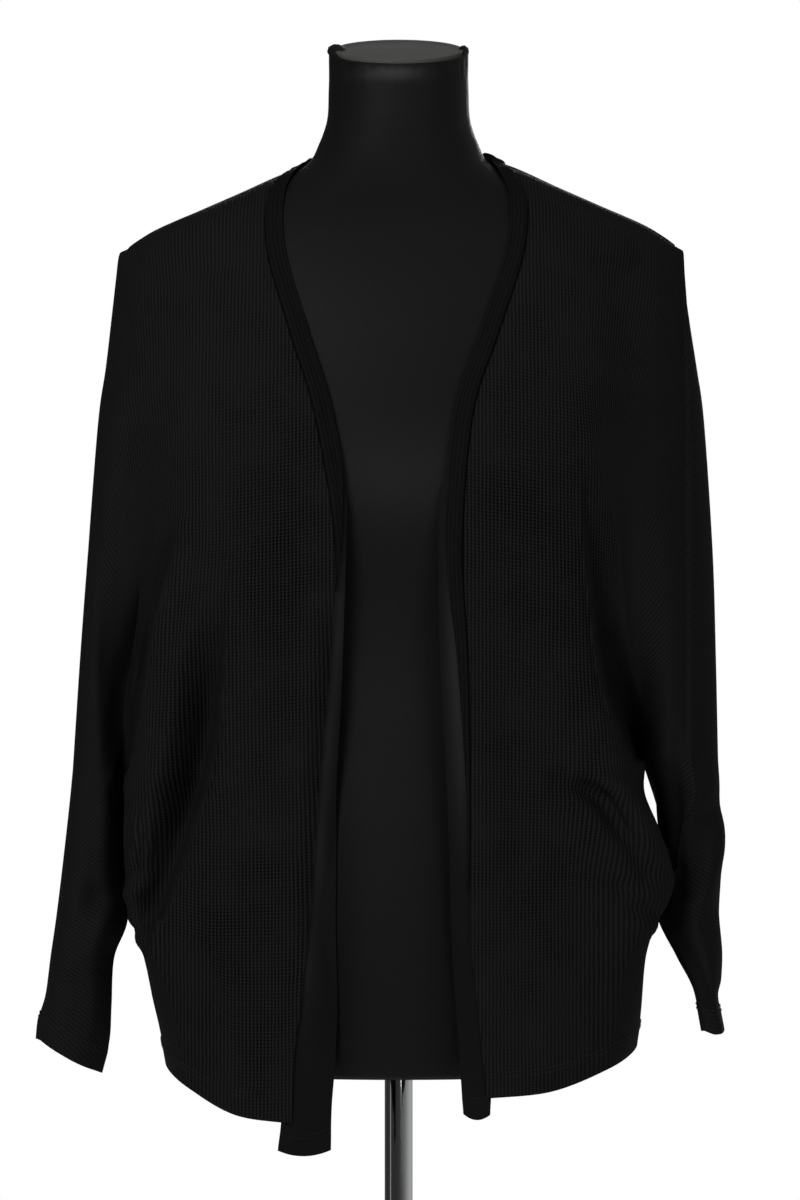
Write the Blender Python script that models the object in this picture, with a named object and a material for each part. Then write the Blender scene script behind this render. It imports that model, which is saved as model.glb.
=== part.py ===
"""Open-front batwing cardigan in black openwork rib knit, on a limbless dress form.

The garment is cut as one back, two fronts and a narrow band for the front edge. The sleeves are
cut in one with the fronts and the back, so one long seam runs over the shoulder to the cuff and
another runs from the cuff under the arm to the hem. Below the bust the edge turns, and its
smooth side hangs as a strip beside each front. Left and right are the wearer's: left is +X. The
garment faces -Y. The origin is the middle of the base's underside.

Lengths in the tables are in millimetres. A drop is measured down from the neck point, where the
shoulder seam meets the band. x is measured out from the centre, and y back from the side plane.
"""

import math
from collections import namedtuple

import bmesh
import bpy
import numpy as np
from mathutils import Matrix

MM = 0.001

NECK_POINT_HEIGHT = 1400.0
CLOTH = 1.6
SEAM_GAP = 0.3
# Where a seam runs round a sharp fold, each side is pulled back this much.
SLANTED_PULL = 0.34
SHOULDER_TIP_PULL = 0.7
SHOULDER_TIP_ROWS = 5
REST_GAP = 0.8
BAND_REST = 1.7
SETTLE_ROUNDS = 3

BAND_GAP = 0.4
BAND_WIDTH = 13.5
BAND_THICKNESS = 3.2
BAND_EDGE_THICKNESS = 1.2
BAND_BEVEL = 1.6
BAND_TIP_WIDTH = 1.6
STRIP_BEHIND = 2.2
STRIP_ROLL = 1.7
STRIP_ROUND = 4.0
STRIP_ROUND_FADE = 20.0
STRIP_STEPS = 2
STRIP_PARTS = (0.0, 0.25, 0.6, 1.0)

# The shoulder falls this share of its height evenly, and the rest close to its corner.
SHOULDER_SLOPE = 0.9
SHOULDER_CORNER = 12

FORM_ROUNDNESS = 2.15
FORM_SEGMENTS = 40
NECK_TOP_TILT = 16.0
NECK_TILT_FADE = 60.0
CAP_HALF_WIDTH = 44.5
CAP_HALF_DEPTH = 49.0
CAP_THICKNESS = 4.0
CAP_BEVEL = 1.0

POLE_RADIUS = 10.5
POLE_FIT = 0.3
POLE_IN_FORM = 60.0
ROUND_SEGMENTS = 32
BASE_RADIUS = 160.0
BASE_EDGE = 5.0
BASE_TOP = 8.0
HUB_RADIUS = 20.0
HUB_HEIGHT = 34.0
BASE_FLOOR = 4.0

KNIT_BLACK = (0.0065, 0.0065, 0.0068)
SMOOTH_BLACK = (0.0150, 0.0150, 0.0155)
JERSEY_BLACK = (0.0105, 0.0105, 0.0110)
CAP_GREY = (0.0600, 0.0600, 0.0570)
CHROME = (0.62, 0.63, 0.64)


def table(columns, *rows):
    """Rows of numbers under named columns."""
    row_type = namedtuple("Row", columns)
    return [row_type(*row) for row in rows]


# Sections of one side from the shoulder seam down to the crotch, where the underarm seam starts.
# edge: seam with the band. ridge: where the front turns back. valley: between body and sleeve.
# fold: front of the sleeve. seam: the overarm seam. out: the sleeve's outermost point.
UPPER_COLUMNS = (
    "drop_edge drop_out x_edge y_edge x_ridge y_ridge x_valley y_valley "
    "x_fold y_fold x_seam y_seam x_out"
)
UPPER = {
    "left": table(
        UPPER_COLUMNS,
        (12, 75, 80, 0, 122, 0, 150, 0, 182, 0, 209.5, 0, 206.5),
        (22.5, 80.5, 87, -34, 126, -32, 155, -29, 188, -23, 210.5, -7, 211),
        (47, 96, 93, -62, 132, -57, 160, -50, 192, -38, 210.5, -18, 211.5),
        (87, 126, 91, -90, 138, -82, 164, -68, 195, -52, 211.5, -32, 216),
        (145, 166, 73, -114, 138, -100, 166, -82, 197, -60, 212.5, -42, 223),
        (205, 205, 54, -125, 138, -110, 166, -90, 198, -66, 213, -48, 228.5),
        (300, 300, 46.5, -129, 136, -114, 168, -84, 198, -68, 213, -51, 235),
        (380, 380, 50.5, -128, 142, -114, 172, -62, 199, -66, 213.5, -52, 237.5),
        (455, 455, 52, -126, 158, -106, 182, -1.3, 200, -56, 214, -50, 239),
    ),
    "right": table(
        UPPER_COLUMNS,
        (17.5, 77, 82, 0, 122, 0, 150, 0, 180, 0, 205, 0, 202),
        (28, 83, 90, -34, 128, -32, 157, -29, 184, -23, 207, -5, 207.8),
        (50, 98, 95, -60, 134, -57, 164, -49, 189, -37, 208.5, -9, 209),
        (88, 127, 95, -88, 140, -80, 172, -62, 195, -46, 211.5, -12, 212.5),
        (145, 166, 79, -112, 144, -97, 182, -70, 202, -48, 216, -13, 217.5),
        (205, 205, 61, -123, 148, -104, 194, -62, 209, -48, 221.5, -14, 223),
        (300, 300, 46, -129, 153, -104, 203, -50, 218, -46, 229, -14, 230.5),
        (380, 380, 50.5, -128, 171, -100, 208, -28, 223, -45, 235, -14, 236.5),
        (465, 465, 59, -125, 190, -84, 205.5, -1.3, 223, -44, 240.5, -14, 242.5),
    ),
}

# The same sections round the back. nape: level with the band seam. centre: the middle of the back.
BACK = table(
    "drop_centre y_centre y_nape y_ridge y_valley y_fold",
    (15, 75, 0, 0, 0, 0),
    (38, 90, 37, 33, 29, 22),
    (64, 97, 70, 59, 50, 36),
    (105, 103, 91, 79, 66, 48),
    (155, 105, 99, 89, 76, 54),
    (205, 105, 101, 92, 78, 58),
    (300, 106, 103, 92, 70, 60),
    (380, 107, 104, 92, 50, 60),
    (460, 108, 104, 88, 1.3, 54),
)

# The body below the crotch. side: the side seam. The last row is the hem.
BODY_COLUMNS = (
    "drop_edge drop_side drop_back x_edge y_edge x_ridge y_ridge x_side y_side y_back y_centre"
)
BODY = {
    "left": table(
        BODY_COLUMNS,
        (482, 482, 488, 52, -126, 165, -98, 180.5, -3, 86, 108),
        (510, 510, 522, 52, -125, 184, -82, 190, -6, 85, 109),
        (545, 545, 560, 51.5, -124, 200.5, -56, 196, 6, 83, 110),
        (575, 575, 588, 51.5, -123, 186.5, -66, 188.5, 2, 83, 111),
        (605, 605, 618, 54, -122, 166, -82, 183, -4, 84, 112),
        (645, 645, 652, 58.5, -121, 158, -82, 180, 0, 83, 112),
        (697, 669, 691, 63.5, -120, 152, -80, 177, 0, 80, 112),
    ),
    "right": table(
        BODY_COLUMNS,
        (495, 495, 488, 62, -124, 200, -58, 198.5, 0, 86, 108),
        (540, 540, 522, 65.5, -123, 200, -56, 198, 0, 85, 109),
        (578, 578, 560, 68, -122, 194, -62, 197, 0, 84, 110),
        (602, 602, 588, 69.5, -122, 177, -74, 188.5, 0, 84, 111),
        (633, 633, 618, 71, -121, 165, -80, 182.5, 0, 83, 112),
        (662, 655, 652, 75, -120, 159, -80, 177.5, 0, 82, 112),
        (715, 681, 692, 77.5, -120, 152, -78, 173, 0, 80, 112),
    ),
}

# The sleeve below the crotch: a tube whose last row is the cuff. twist: degrees that it rolls
# forwards and inwards about its own length.
SLEEVE_COLUMNS = "drop_in drop_out x_in x_out y_front y_back twist"
SLEEVE = {
    "left": table(
        SLEEVE_COLUMNS,
        (482, 482, 191, 240, -46, 54, 14),
        (507, 507, 195, 240.5, -39, 54, 42),
        (546, 546, 202.5, 241, -31, 54, 78),
        (575, 575, 196.5, 240.5, -31, 53, 92),
        (602, 602, 209, 242.5, -34, 51, 95),
        (622, 622, 220, 241.5, -37, 49, 95),
        (635, 635, 224.5, 239, -38, 47, 95),
        (659.5, 659.5, 229, 243, -41, 46, 95),
    ),
    "right": table(
        SLEEVE_COLUMNS,
        (495, 495, 206, 245, -42, 46, 0),
        (540, 540, 205, 250.5, -41, 46, 0),
        (578, 578, 204, 255.5, -40, 44, 0),
        (606, 604, 214, 259, -38, 40, 0),
        (642, 632, 216, 263, -33, 35, 0),
        (668, 650, 217.5, 268.5, -31, 33, 0),
        (692.5, 664.5, 223.5, 270, -29, 31, 0),
    ),
}

# Angles of the sleeve's control points before its twist: 0 outwards, 90 forwards, 180 inwards.
SLEEVE_ANGLES = {
    "left": {"fold": 118, "seam": 68, "out": -4, "back_fold": -92},
    "right": {"fold": 98, "seam": 24, "out": -16, "back_fold": -96},
}

# Largest drape folds. Each runs down through three places and moves the cloth in (+) or out (-).
FOLD_COLUMNS = "panel x_top drop_top x_middle drop_middle x_end drop_end depth half_width"
FOLDS = {
    "left": table(
        FOLD_COLUMNS,
        ("front", 128, 462, 146, 484, 166, 520, 7, 9),
        ("front", 92, 320, 100, 480, 104, 640, 3, 20),
        ("back", 150, 330, 158, 440, 172, 560, 12, 16),
        ("back", 64, 200, 74, 430, 92, 660, 6, 22),
    ),
    "right": table(
        FOLD_COLUMNS,
        ("front", 136, 330, 148, 430, 178, 565, 19, 15),
        ("front", 184, 300, 198, 390, 200, 460, -7, 9),
        ("front", 96, 360, 104, 520, 112, 680, 3, 20),
        ("back", 146, 320, 156, 440, 176, 570, 14, 17),
        ("back", 52, 240, 60, 460, 84, 670, 6, 24),
    ),
}

# The smooth strip beside each front: x of its free inner edge, and how far that edge turns back.
STRIP_COLUMNS = "drop x_free x_under turn_back"
STRIP = {
    "left": table(
        STRIP_COLUMNS,
        (243, 30, 38, 0.5),
        (300, 29, 42, 2.5),
        (360, 29.5, 48, 4),
        (410, 31.5, 50, 5),
        (470, 35, 54, 5.5),
        (545, 37.5, 55, 6),
        (600, 39.5, 58, 7),
        (650, 43, 64, 7),
        (688, 45.5, 66.5, 6),
        (713, 47, 66, 4),
    ),
    "right": table(
        STRIP_COLUMNS,
        (243, 37, 44, 0.5),
        (300, 38, 50, 2.5),
        (360, 40, 56, 4.5),
        (410, 42, 60, 6),
        (480, 45.5, 67, 8),
        (545, 44.5, 72, 9),
        (620, 44.5, 77, 10),
        (670, 46, 83, 9),
        (705, 48.5, 84, 7),
        (739, 49, 87, 5),
    ),
}

# Where each band has its full width, and where it has tapered away beside the strip.
BAND_TAPER = {"left": (235, 550), "right": (225, 335)}

# Sections of the dress form, from the top of the neck to the bottom.
FORM = table(
    "drop half_width front back",
    (-71, 52, 56, 50),
    (-45, 52.5, 56, 51),
    (-18, 54.5, 57, 55),
    (-3, 60, 60, 61),
    (10, 67, 64, 68),
    (24, 88, 70, 74),
    (36, 115, 76, 80),
    (47, 142, 82, 86),
    (58, 169, 87, 90),
    (68, 187, 91, 93),
    (79, 197, 95, 95),
    (97, 201, 101, 98),
    (130, 196, 110, 101),
    (175, 184, 118, 99),
    (220, 167, 122, 94),
    (260, 155, 120, 88),
    (310, 143, 110, 81),
    (380, 132, 97, 77),
    (440, 137, 97, 84),
    (510, 153, 104, 98),
    (590, 165, 108, 104),
    (650, 166, 106, 102),
    (674, 162, 103, 99),
    (684, 154, 96, 92),
)
FORM_BOTTOM_DROP = 687.0
FORM_EDGE_INSET = 4.0

# Shape of a section between its table values. FLATNESS: how much of the front's turning is done
# halfway to its ridge. OUTER_DEPTH: the sleeve's outermost point as a share of its back depth.
# NAPE_PLACE and NAPE_ROUND: an extra point that keeps the neckline round at the back.
FLATNESS = 0.25
OUTER_DEPTH = 0.06
NAPE_PLACE = 0.62
NAPE_ROUND = 0.22
HEM_RISE_FLAT = 0.12
HEM_RISE_RIDGE = 0.6
BACK_CORNER_IN = 14.0
BLADE_FROM_EDGE = 25.0
CROTCH_HALF = 1.3
FOLD_START = 0.35
FOLD_FADE = 0.3

# Steps between neighbouring control points of a section, and between neighbouring rows.
FRONT_STEPS = {"edge": 2, "flat": 2, "ridge": 3, "valley": 3, "fold": 2}
BACK_STEPS = {
    "seam": 2,
    "out": 2,
    "back_fold": 3,
    "back_valley": 3,
    "back_ridge": 2,
    "nape": 3,
    "nape_side": 3,
}
UPPER_STEPS = (3, 3, 3, 3, 2, 2, 3, 3)
BODY_STEPS = (1, 1, 2, 1, 1, 1, 2)
SLEEVE_STEPS = {"left": (1, 2, 2, 1, 1, 1, 1, 1), "right": (1, 2, 2, 1, 1, 1, 1)}


def through(points, steps):
    """A smooth curve through the points, with steps[i] pieces between points i and i + 1."""
    points = np.asarray(points, float)
    last = len(points) - 1
    slopes = np.empty_like(points)
    slopes[0] = points[1] - points[0]
    slopes[last] = points[last] - points[last - 1]
    slopes[1:last] = (points[2:] - points[:-2]) / 2
    curve = [points[0]]
    for i, count in enumerate(steps):
        for step in range(1, count + 1):
            t = step / count
            curve.append(
                (2 * t**3 - 3 * t**2 + 1) * points[i]
                + (t**3 - 2 * t**2 + t) * slopes[i]
                + (3 * t**2 - 2 * t**3) * points[i + 1]
                + (t**3 - t**2) * slopes[i + 1]
            )
    return np.array(curve)


def section_curve(points, steps):
    """A smooth curve whose slopes allow for uneven distances between the points."""
    points = np.asarray(points, float)
    gaps = np.maximum(np.linalg.norm(np.diff(points, axis=0), axis=1), 1e-6)
    last = len(points) - 1
    speeds = np.empty_like(points)
    speeds[0] = (points[1] - points[0]) / gaps[0]
    speeds[last] = (points[last] - points[last - 1]) / gaps[-1]
    before, after = gaps[:-1, None], gaps[1:, None]
    speeds[1:last] = (
        (points[1:-1] - points[:-2]) / before * after + (points[2:] - points[1:-1]) / after * before
    ) / (before + after)
    curve = [points[0]]
    for i, count in enumerate(steps):
        for step in range(1, count + 1):
            t = step / count
            curve.append(
                (2 * t**3 - 3 * t**2 + 1) * points[i]
                + (t**3 - 2 * t**2 + t) * speeds[i] * gaps[i]
                + (3 * t**2 - 2 * t**3) * points[i + 1]
                + (t**3 - t**2) * speeds[i + 1] * gaps[i]
            )
    return np.array(curve)


def mixed(first, second, share):
    return first + (second - first) * share


def eased(t):
    t = min(max(t, 0.0), 1.0)
    return t * t * (3 - 2 * t)


# ---------------------------------------------------------------- the dress form as a formula


FORM_DROPS = np.array([row.drop for row in FORM], float)
FORM_SIZES = np.array([row[1:] for row in FORM], float)
FORM_SLOPES = np.gradient(FORM_SIZES, FORM_DROPS, axis=0)


def form_sizes(drop):
    """Half width, front depth and back depth of the form at this drop."""
    drop = min(max(drop, FORM_DROPS[0]), FORM_DROPS[-1])
    i = int(np.clip(np.searchsorted(FORM_DROPS, drop, side="right") - 1, 0, len(FORM_DROPS) - 2))
    span = FORM_DROPS[i + 1] - FORM_DROPS[i]
    t = (drop - FORM_DROPS[i]) / span
    return (
        (2 * t**3 - 3 * t**2 + 1) * FORM_SIZES[i]
        + (t**3 - 2 * t**2 + t) * FORM_SLOPES[i] * span
        + (3 * t**2 - 2 * t**3) * FORM_SIZES[i + 1]
        + (t**3 - t**2) * FORM_SLOPES[i + 1] * span
    )


def form_field(point):
    """1 on the form's surface, less inside it and more outside it."""
    half_width, front, back = form_sizes(point[2])
    depth = front if point[1] < 0 else back
    ratio = abs(point[0] / half_width) ** FORM_ROUNDNESS + abs(point[1] / depth) ** FORM_ROUNDNESS
    return ratio ** (1 / FORM_ROUNDNESS)


def off_form(point, clearance):
    """The point, moved out along the form's surface direction until it has this clearance."""
    point = np.array(point, float)
    if point[2] > FORM_DROPS[-1]:
        return point
    for _ in range(8):
        field = form_field(point)
        steps = np.eye(3) * 0.5
        slope = np.array([form_field(point + s) - form_field(point - s) for s in steps])
        size = np.linalg.norm(slope)
        away = (field - 1) / size
        if away >= clearance:
            break
        point += slope / size * (clearance - away)
    return point


# ---------------------------------------------------------------- the cloth's middle surface


def fold_depth(side, panel, x, drop):
    """How far the side's drape folds push this place of the panel inwards."""
    total = 0.0
    for fold in FOLDS[side]:
        if fold.panel != panel or not fold.drop_top < drop < fold.drop_end:
            continue
        drops = (fold.drop_top, fold.drop_middle, fold.drop_end)
        middle = np.interp(drop, drops, (fold.x_top, fold.x_middle, fold.x_end))
        length = fold.drop_end - fold.drop_top
        rise = eased((drop - fold.drop_top) / (FOLD_START * length))
        fall = eased((fold.drop_end - drop) / (FOLD_FADE * length))
        total += fold.depth * rise * fall * math.exp(-(((x - middle) / fold.half_width) ** 2))
    return total


def upper_section(side, front, back):
    """Control points of a section above the crotch, from the band seam round to the centre back."""
    reach = max(front.x_seam, front.x_out) - front.x_edge

    def drop(x):
        t = min(max((x - front.x_edge) / reach, 0), 1)
        slope = SHOULDER_SLOPE * t + (1 - SHOULDER_SLOPE) * t**SHOULDER_CORNER
        return front.drop_edge + (front.drop_out - front.drop_edge) * slope

    flat_x = (front.x_edge + front.x_ridge) / 2
    flat_y = front.y_edge + FLATNESS * (front.y_ridge - front.y_edge)
    back_fold_x = (front.x_fold + front.x_out) / 2
    nape_drop = (front.drop_edge + back.drop_centre) / 2 if back.y_nape else front.drop_edge
    places = [
        (front.x_edge, front.y_edge, front.drop_edge),
        (flat_x, flat_y, drop(flat_x)),
        (front.x_ridge, front.y_ridge, drop(front.x_ridge)),
        (front.x_valley, front.y_valley, drop(front.x_valley)),
        (front.x_fold, front.y_fold, drop(front.x_fold)),
        (front.x_seam, front.y_seam, drop(front.x_seam)),
        (front.x_out, OUTER_DEPTH * back.y_fold, drop(front.x_out)),
        (back_fold_x, back.y_fold, drop(back_fold_x)),
        (front.x_valley, back.y_valley, drop(front.x_valley)),
        (front.x_ridge, back.y_ridge, drop(front.x_ridge)),
        (front.x_edge, back.y_nape, nape_drop),
        (
            NAPE_PLACE * front.x_edge,
            back.y_centre - NAPE_ROUND * (back.y_centre - back.y_nape),
            mixed(nape_drop, back.drop_centre, 0.7),
        ),
        (0.0, back.y_centre, back.drop_centre),
    ]
    return places


def body_section(row):
    """Control points of the body below the crotch, from the front edge round to the centre back."""
    rise = row.drop_side - row.drop_edge
    flat_x = (row.x_edge + row.x_ridge) / 2
    flat_y = row.y_edge + FLATNESS * (row.y_ridge - row.y_edge)
    blade_x = row.x_edge + BLADE_FROM_EDGE
    return [
        (row.x_edge, row.y_edge, row.drop_edge),
        (flat_x, flat_y, row.drop_edge + HEM_RISE_FLAT * rise),
        (row.x_ridge, row.y_ridge, row.drop_edge + HEM_RISE_RIDGE * rise),
        (row.x_side, row.y_side, row.drop_side),
        (row.x_ridge - BACK_CORNER_IN, row.y_back, mixed(row.drop_back, row.drop_side, 0.5)),
        (blade_x, mixed(row.y_back, row.y_centre, 0.7), row.drop_back),
        (blade_x / 2, row.y_centre - 1, row.drop_back),
        (0.0, row.y_centre, row.drop_back),
    ]


def sleeve_section(side, row):
    """Control points round the sleeve below the crotch, from the underarm seam back to itself."""
    middle_x, half_x = (row.x_in + row.x_out) / 2, (row.x_out - row.x_in) / 2
    middle_y, half_y = (row.y_front + row.y_back) / 2, (row.y_back - row.y_front) / 2
    angles = SLEEVE_ANGLES[side]
    turns = (180, angles["fold"], angles["seam"], angles["out"], angles["back_fold"], -180)
    places = []
    for turn in turns:
        angle = math.radians(turn + row.twist)
        across = math.cos(angle)
        drop = row.drop_in + (row.drop_out - row.drop_in) * (across + 1) / 2
        places.append((middle_x + half_x * across, middle_y - half_y * math.sin(angle), drop))
    return places


FRONT_COUNTS = tuple(FRONT_STEPS.values())
BACK_COUNTS = tuple(BACK_STEPS.values())
SEAM_COLUMN = sum(FRONT_COUNTS)
VALLEY_COLUMN = sum(FRONT_COUNTS[:3])
BACK_VALLEY_COLUMN = SEAM_COLUMN + sum(BACK_COUNTS[:3])
CENTRE_COLUMN = SEAM_COLUMN + sum(BACK_COUNTS)
NAPE_COLUMN = CENTRE_COLUMN - sum(BACK_COUNTS[-2:])
ARM_SEAM_COLUMN = SEAM_COLUMN - VALLEY_COLUMN
UPPER_COUNTS = FRONT_COUNTS + BACK_COUNTS
BODY_COUNTS = FRONT_COUNTS[:3] + BACK_COUNTS[3:]
SLEEVE_COUNTS = FRONT_COUNTS[3:] + BACK_COUNTS[:3]


def draped(side, curve):
    """A section's points with the drape folds added, kept off the form."""
    places = []
    for x, y, drop in curve:
        panel = "front" if y < 0 else "back"
        y -= math.copysign(min(fold_depth(side, panel, x, drop), max(abs(y) - CROTCH_HALF, 0)), y)
        places.append(off_form((x, y, drop), CLOTH / 2 + REST_GAP))
    return places


def settled(sheet):
    """The sheet with the lines between its points, not only its points, clear of the form."""
    clearance = CLOTH / 2 + REST_GAP
    rows, columns = sheet.shape[:2]
    pairs = [((r, c), (r, c + 1)) for r in range(rows) for c in range(columns - 1)]
    for r in range(rows - 1):
        pairs += [((r, c), (r + 1, c)) for c in range(columns)]
        pairs += [((r, c), (r + 1, c + 1)) for c in range(columns - 1)]
        pairs += [((r, c + 1), (r + 1, c)) for c in range(columns - 1)]
    for _ in range(SETTLE_ROUNDS):
        lifts = np.zeros_like(sheet)
        for ends in pairs:
            middle = (sheet[ends[0]] + sheet[ends[1]]) / 2
            lift = off_form(middle, clearance) - middle
            for end in ends:
                if np.linalg.norm(lift) > np.linalg.norm(lifts[end]):
                    lifts[end] = lift
        sheet = sheet + lifts
    return sheet


def rows_between(sections, steps):
    """Control points of every row, smooth from section to section."""
    return through(np.array(sections, float), steps)


def side_sheets(side):
    """Rows and columns of the cloth's middle surface: above the crotch, body and sleeve below."""
    upper = [upper_section(side, front, back) for front, back in zip(UPPER[side], BACK)]
    upper_rows = rows_between(upper, UPPER_STEPS)
    curves = [section_curve(row, UPPER_COUNTS) for row in upper_rows]
    curves[0][: NAPE_COLUMN + 1, 1] = 0.0
    top = settled(np.array([draped(side, curve) for curve in curves]))
    top[0, : NAPE_COLUMN + 1, 1] = 0.0
    crotch = upper[-1]
    body = [crotch[:3] + [(crotch[3][0], 0.0, crotch[3][2])] + crotch[9:]]
    body += [body_section(row) for row in BODY[side]]
    body_rows = rows_between(body, BODY_STEPS)[1:]
    lower = np.array([draped(side, section_curve(row, BODY_COUNTS)) for row in body_rows])
    underarm = (crotch[3][0], 0.0, crotch[3][2])
    sleeve = [[underarm] + crotch[4:8] + [underarm]]
    sleeve += [sleeve_section(side, row) for row in SLEEVE[side]]
    sleeve_rows = rows_between(sleeve, SLEEVE_STEPS[side])[1:]
    arm = np.array([section_curve(row, SLEEVE_COUNTS) for row in sleeve_rows])
    return top, lower, arm


def world(points, side):
    """Points of a side's tables as millimetres in the part's frame."""
    points = np.array(points, float)
    sign = 1.0 if side == "left" else -1.0
    return np.stack(
        [sign * points[..., 0], points[..., 1], NECK_POINT_HEIGHT - points[..., 2]], axis=-1
    )


def unit(vectors):
    return vectors / np.maximum(np.linalg.norm(vectors, axis=-1, keepdims=True), 1e-9)


def normals_of(rows, closed=False, before=None):
    """Outward directions of a sheet. before: the row above it, for a sheet that goes on."""
    steps = unit(np.diff(rows, axis=1))
    along = np.empty_like(rows)
    along[:, 1:-1] = steps[:, 1:] + steps[:, :-1]
    along[:, 0] = steps[:, 0]
    along[:, -1] = steps[:, -1]
    if closed:
        along[:, 0] = along[:, -1] = steps[:, 0] + steps[:, -1]
    stack = rows if before is None else np.concatenate([before[None], rows])
    down = np.gradient(stack, axis=0)
    if before is not None:
        down = down[1:]
    return unit(np.cross(along, down))


class Side:
    """One side's sheets in the part's frame, with their outward directions."""

    def __init__(self, side):
        self.name = side
        top, lower, arm = (world(sheet, side) for sheet in side_sheets(side))
        self.top, self.lower, self.arm = top, lower, arm
        above_body = np.concatenate(
            [top[-1, : VALLEY_COLUMN + 1], top[-1, BACK_VALLEY_COLUMN + 1 :]]
        )
        above_arm = top[-1, VALLEY_COLUMN : BACK_VALLEY_COLUMN + 1]
        facing = -1.0 if side == "left" else 1.0
        self.top_normals = facing * normals_of(top)
        self.lower_normals = facing * normals_of(lower, before=above_body)
        self.arm_normals = facing * normals_of(arm, closed=True, before=above_arm)
        ridge = slice(0, NAPE_COLUMN + 1)
        self.top_normals[0, ridge] = self.top_normals[1, ridge] * (1, 0, 1)
        self.top_normals[0] = unit(self.top_normals[0])
        for normals in (self.top_normals, self.lower_normals):
            normals[:, -1, 0] = 0.0
            normals[:, -1] = unit(normals[:, -1])


def pulled(points, edge, inner, pull):
    """Moves an edge's points towards their inner neighbours by this much."""
    return points[:, edge] + unit(points[:, inner] - points[:, edge]) * pull


def overarm_pulls(rows):
    """How far each row of the overarm seam is pulled back: more round the shoulder's tip."""
    pulls = np.full((rows, 1), SEAM_GAP / 2)
    pulls[:SHOULDER_TIP_ROWS, 0] = np.linspace(SHOULDER_TIP_PULL, SEAM_GAP / 2, SHOULDER_TIP_ROWS)
    return pulls


# ---------------------------------------------------------------- Blender objects


def make_material(name, colour, roughness, metallic=0.0):
    material = bpy.data.materials.new(name)
    material.use_nodes = True
    shader = material.node_tree.nodes["Principled BSDF"]
    shader.inputs["Base Color"].default_value = (*colour, 1.0)
    shader.inputs["Roughness"].default_value = roughness
    shader.inputs["Metallic"].default_value = metallic
    return material


def add_object(name, vertices, faces, material, smooth=True):
    """An object from points in millimetres, its faces turned outwards."""
    mesh = bpy.data.meshes.new(name)
    mesh.from_pydata([tuple(float(v) * MM for v in p) for p in vertices], [], faces)
    shape = bmesh.new()
    shape.from_mesh(mesh)
    bmesh.ops.recalc_face_normals(shape, faces=shape.faces)
    shape.to_mesh(mesh)
    shape.free()
    mesh.materials.append(material)
    obj = bpy.data.objects.new(name, mesh)
    bpy.context.collection.objects.link(obj)
    if smooth:
        mesh.shade_smooth()
        mesh.set_sharp_from_angle(angle=math.radians(50))
    return obj


class Panel:
    """A cloth piece: quads of the middle surface, thickened to a wall."""

    def __init__(self):
        self.index = {}
        self.points = []
        self.normals = []
        self.quads = []

    def vertex(self, key, point, normal):
        if key not in self.index:
            self.index[key] = len(self.points)
            self.points.append(np.array(point))
            self.normals.append(np.array(normal))
        return self.index[key]

    def sheet(self, points, normals, keys, mirrored=False):
        """Adds a grid. keys[row][column] are equal where two grids share a point."""
        ids = [
            [self.vertex(keys[r][c], points[r][c], normals[r][c]) for c in range(len(points[r]))]
            for r in range(len(points))
        ]
        for r in range(len(ids) - 1):
            for c in range(len(ids[r]) - 1):
                quad = (ids[r][c], ids[r + 1][c], ids[r + 1][c + 1], ids[r][c + 1])
                self.quads.append(quad[::-1] if mirrored else quad)

    def build(self, name, material, thickness=CLOTH):
        count = len(self.points)
        points, normals = np.array(self.points), np.array(self.normals)
        shell = np.concatenate([points + normals * thickness / 2, points - normals * thickness / 2])
        faces = list(self.quads)
        faces += [tuple(i + count for i in reversed(quad)) for quad in self.quads]
        edges = {}
        for quad in self.quads:
            for a, b in zip(quad, quad[1:] + quad[:1]):
                edges[(a, b)] = edges.get((a, b), 0) + 1
        for a, b in edges:
            if (b, a) not in edges:
                faces.append((b, a, a + count, b + count))
        return add_object(name, shell, faces, material)


def front_sheets(side):
    """The three grids of a front, with its seam edges half a gap inside the seam lines."""
    half_gap = SEAM_GAP / 2
    top = side.top[:, : SEAM_COLUMN + 1].copy()
    top[:, -1] = pulled(side.top, SEAM_COLUMN, SEAM_COLUMN - 1, overarm_pulls(len(top)))
    top[0, :, 1] -= half_gap
    top[0, -1, 1] -= SLANTED_PULL
    lower = side.lower[:, : VALLEY_COLUMN + 1].copy()
    lower[:, -1] = pulled(side.lower, VALLEY_COLUMN, VALLEY_COLUMN - 1, half_gap)
    arm = side.arm[:, : ARM_SEAM_COLUMN + 1].copy()
    arm[:, 0] = pulled(side.arm, 0, 1, SLANTED_PULL)
    arm[:, -1] = pulled(side.arm, ARM_SEAM_COLUMN, ARM_SEAM_COLUMN - 1, SLANTED_PULL)
    return top, lower, arm


def back_sheets(side):
    """The three grids of one half of the back, from the overarm seam to the centre back."""
    half_gap = SEAM_GAP / 2
    top = side.top[:, SEAM_COLUMN:].copy()
    pulls = overarm_pulls(len(top))
    pulls[0] = 0.0
    top[:, 0] = pulled(side.top, SEAM_COLUMN, SEAM_COLUMN + 1, pulls)
    shoulder = NAPE_COLUMN - SEAM_COLUMN + 1
    top[0, :shoulder, 1] += half_gap
    top[0, 0, 1] += SLANTED_PULL
    lower = side.lower[:, VALLEY_COLUMN:].copy()
    lower[:, 0] = pulled(side.lower, VALLEY_COLUMN, VALLEY_COLUMN + 1, half_gap)
    arm = side.arm[:, ARM_SEAM_COLUMN:].copy()
    arm[:, 0] = pulled(side.arm, ARM_SEAM_COLUMN, ARM_SEAM_COLUMN + 1, SLANTED_PULL)
    arm[:, -1] = pulled(side.arm, -1, -2, SLANTED_PULL)
    return top, lower, arm


def grid_keys(label, rows, columns, first=0):
    return [[(label, r, first + c) for c in range(columns)] for r in range(rows)]


def joined(top_row, top_keys, sheet, keys):
    """A lower grid with the crotch row put above it."""
    return np.concatenate([top_row[None], sheet]), [top_keys] + keys


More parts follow.
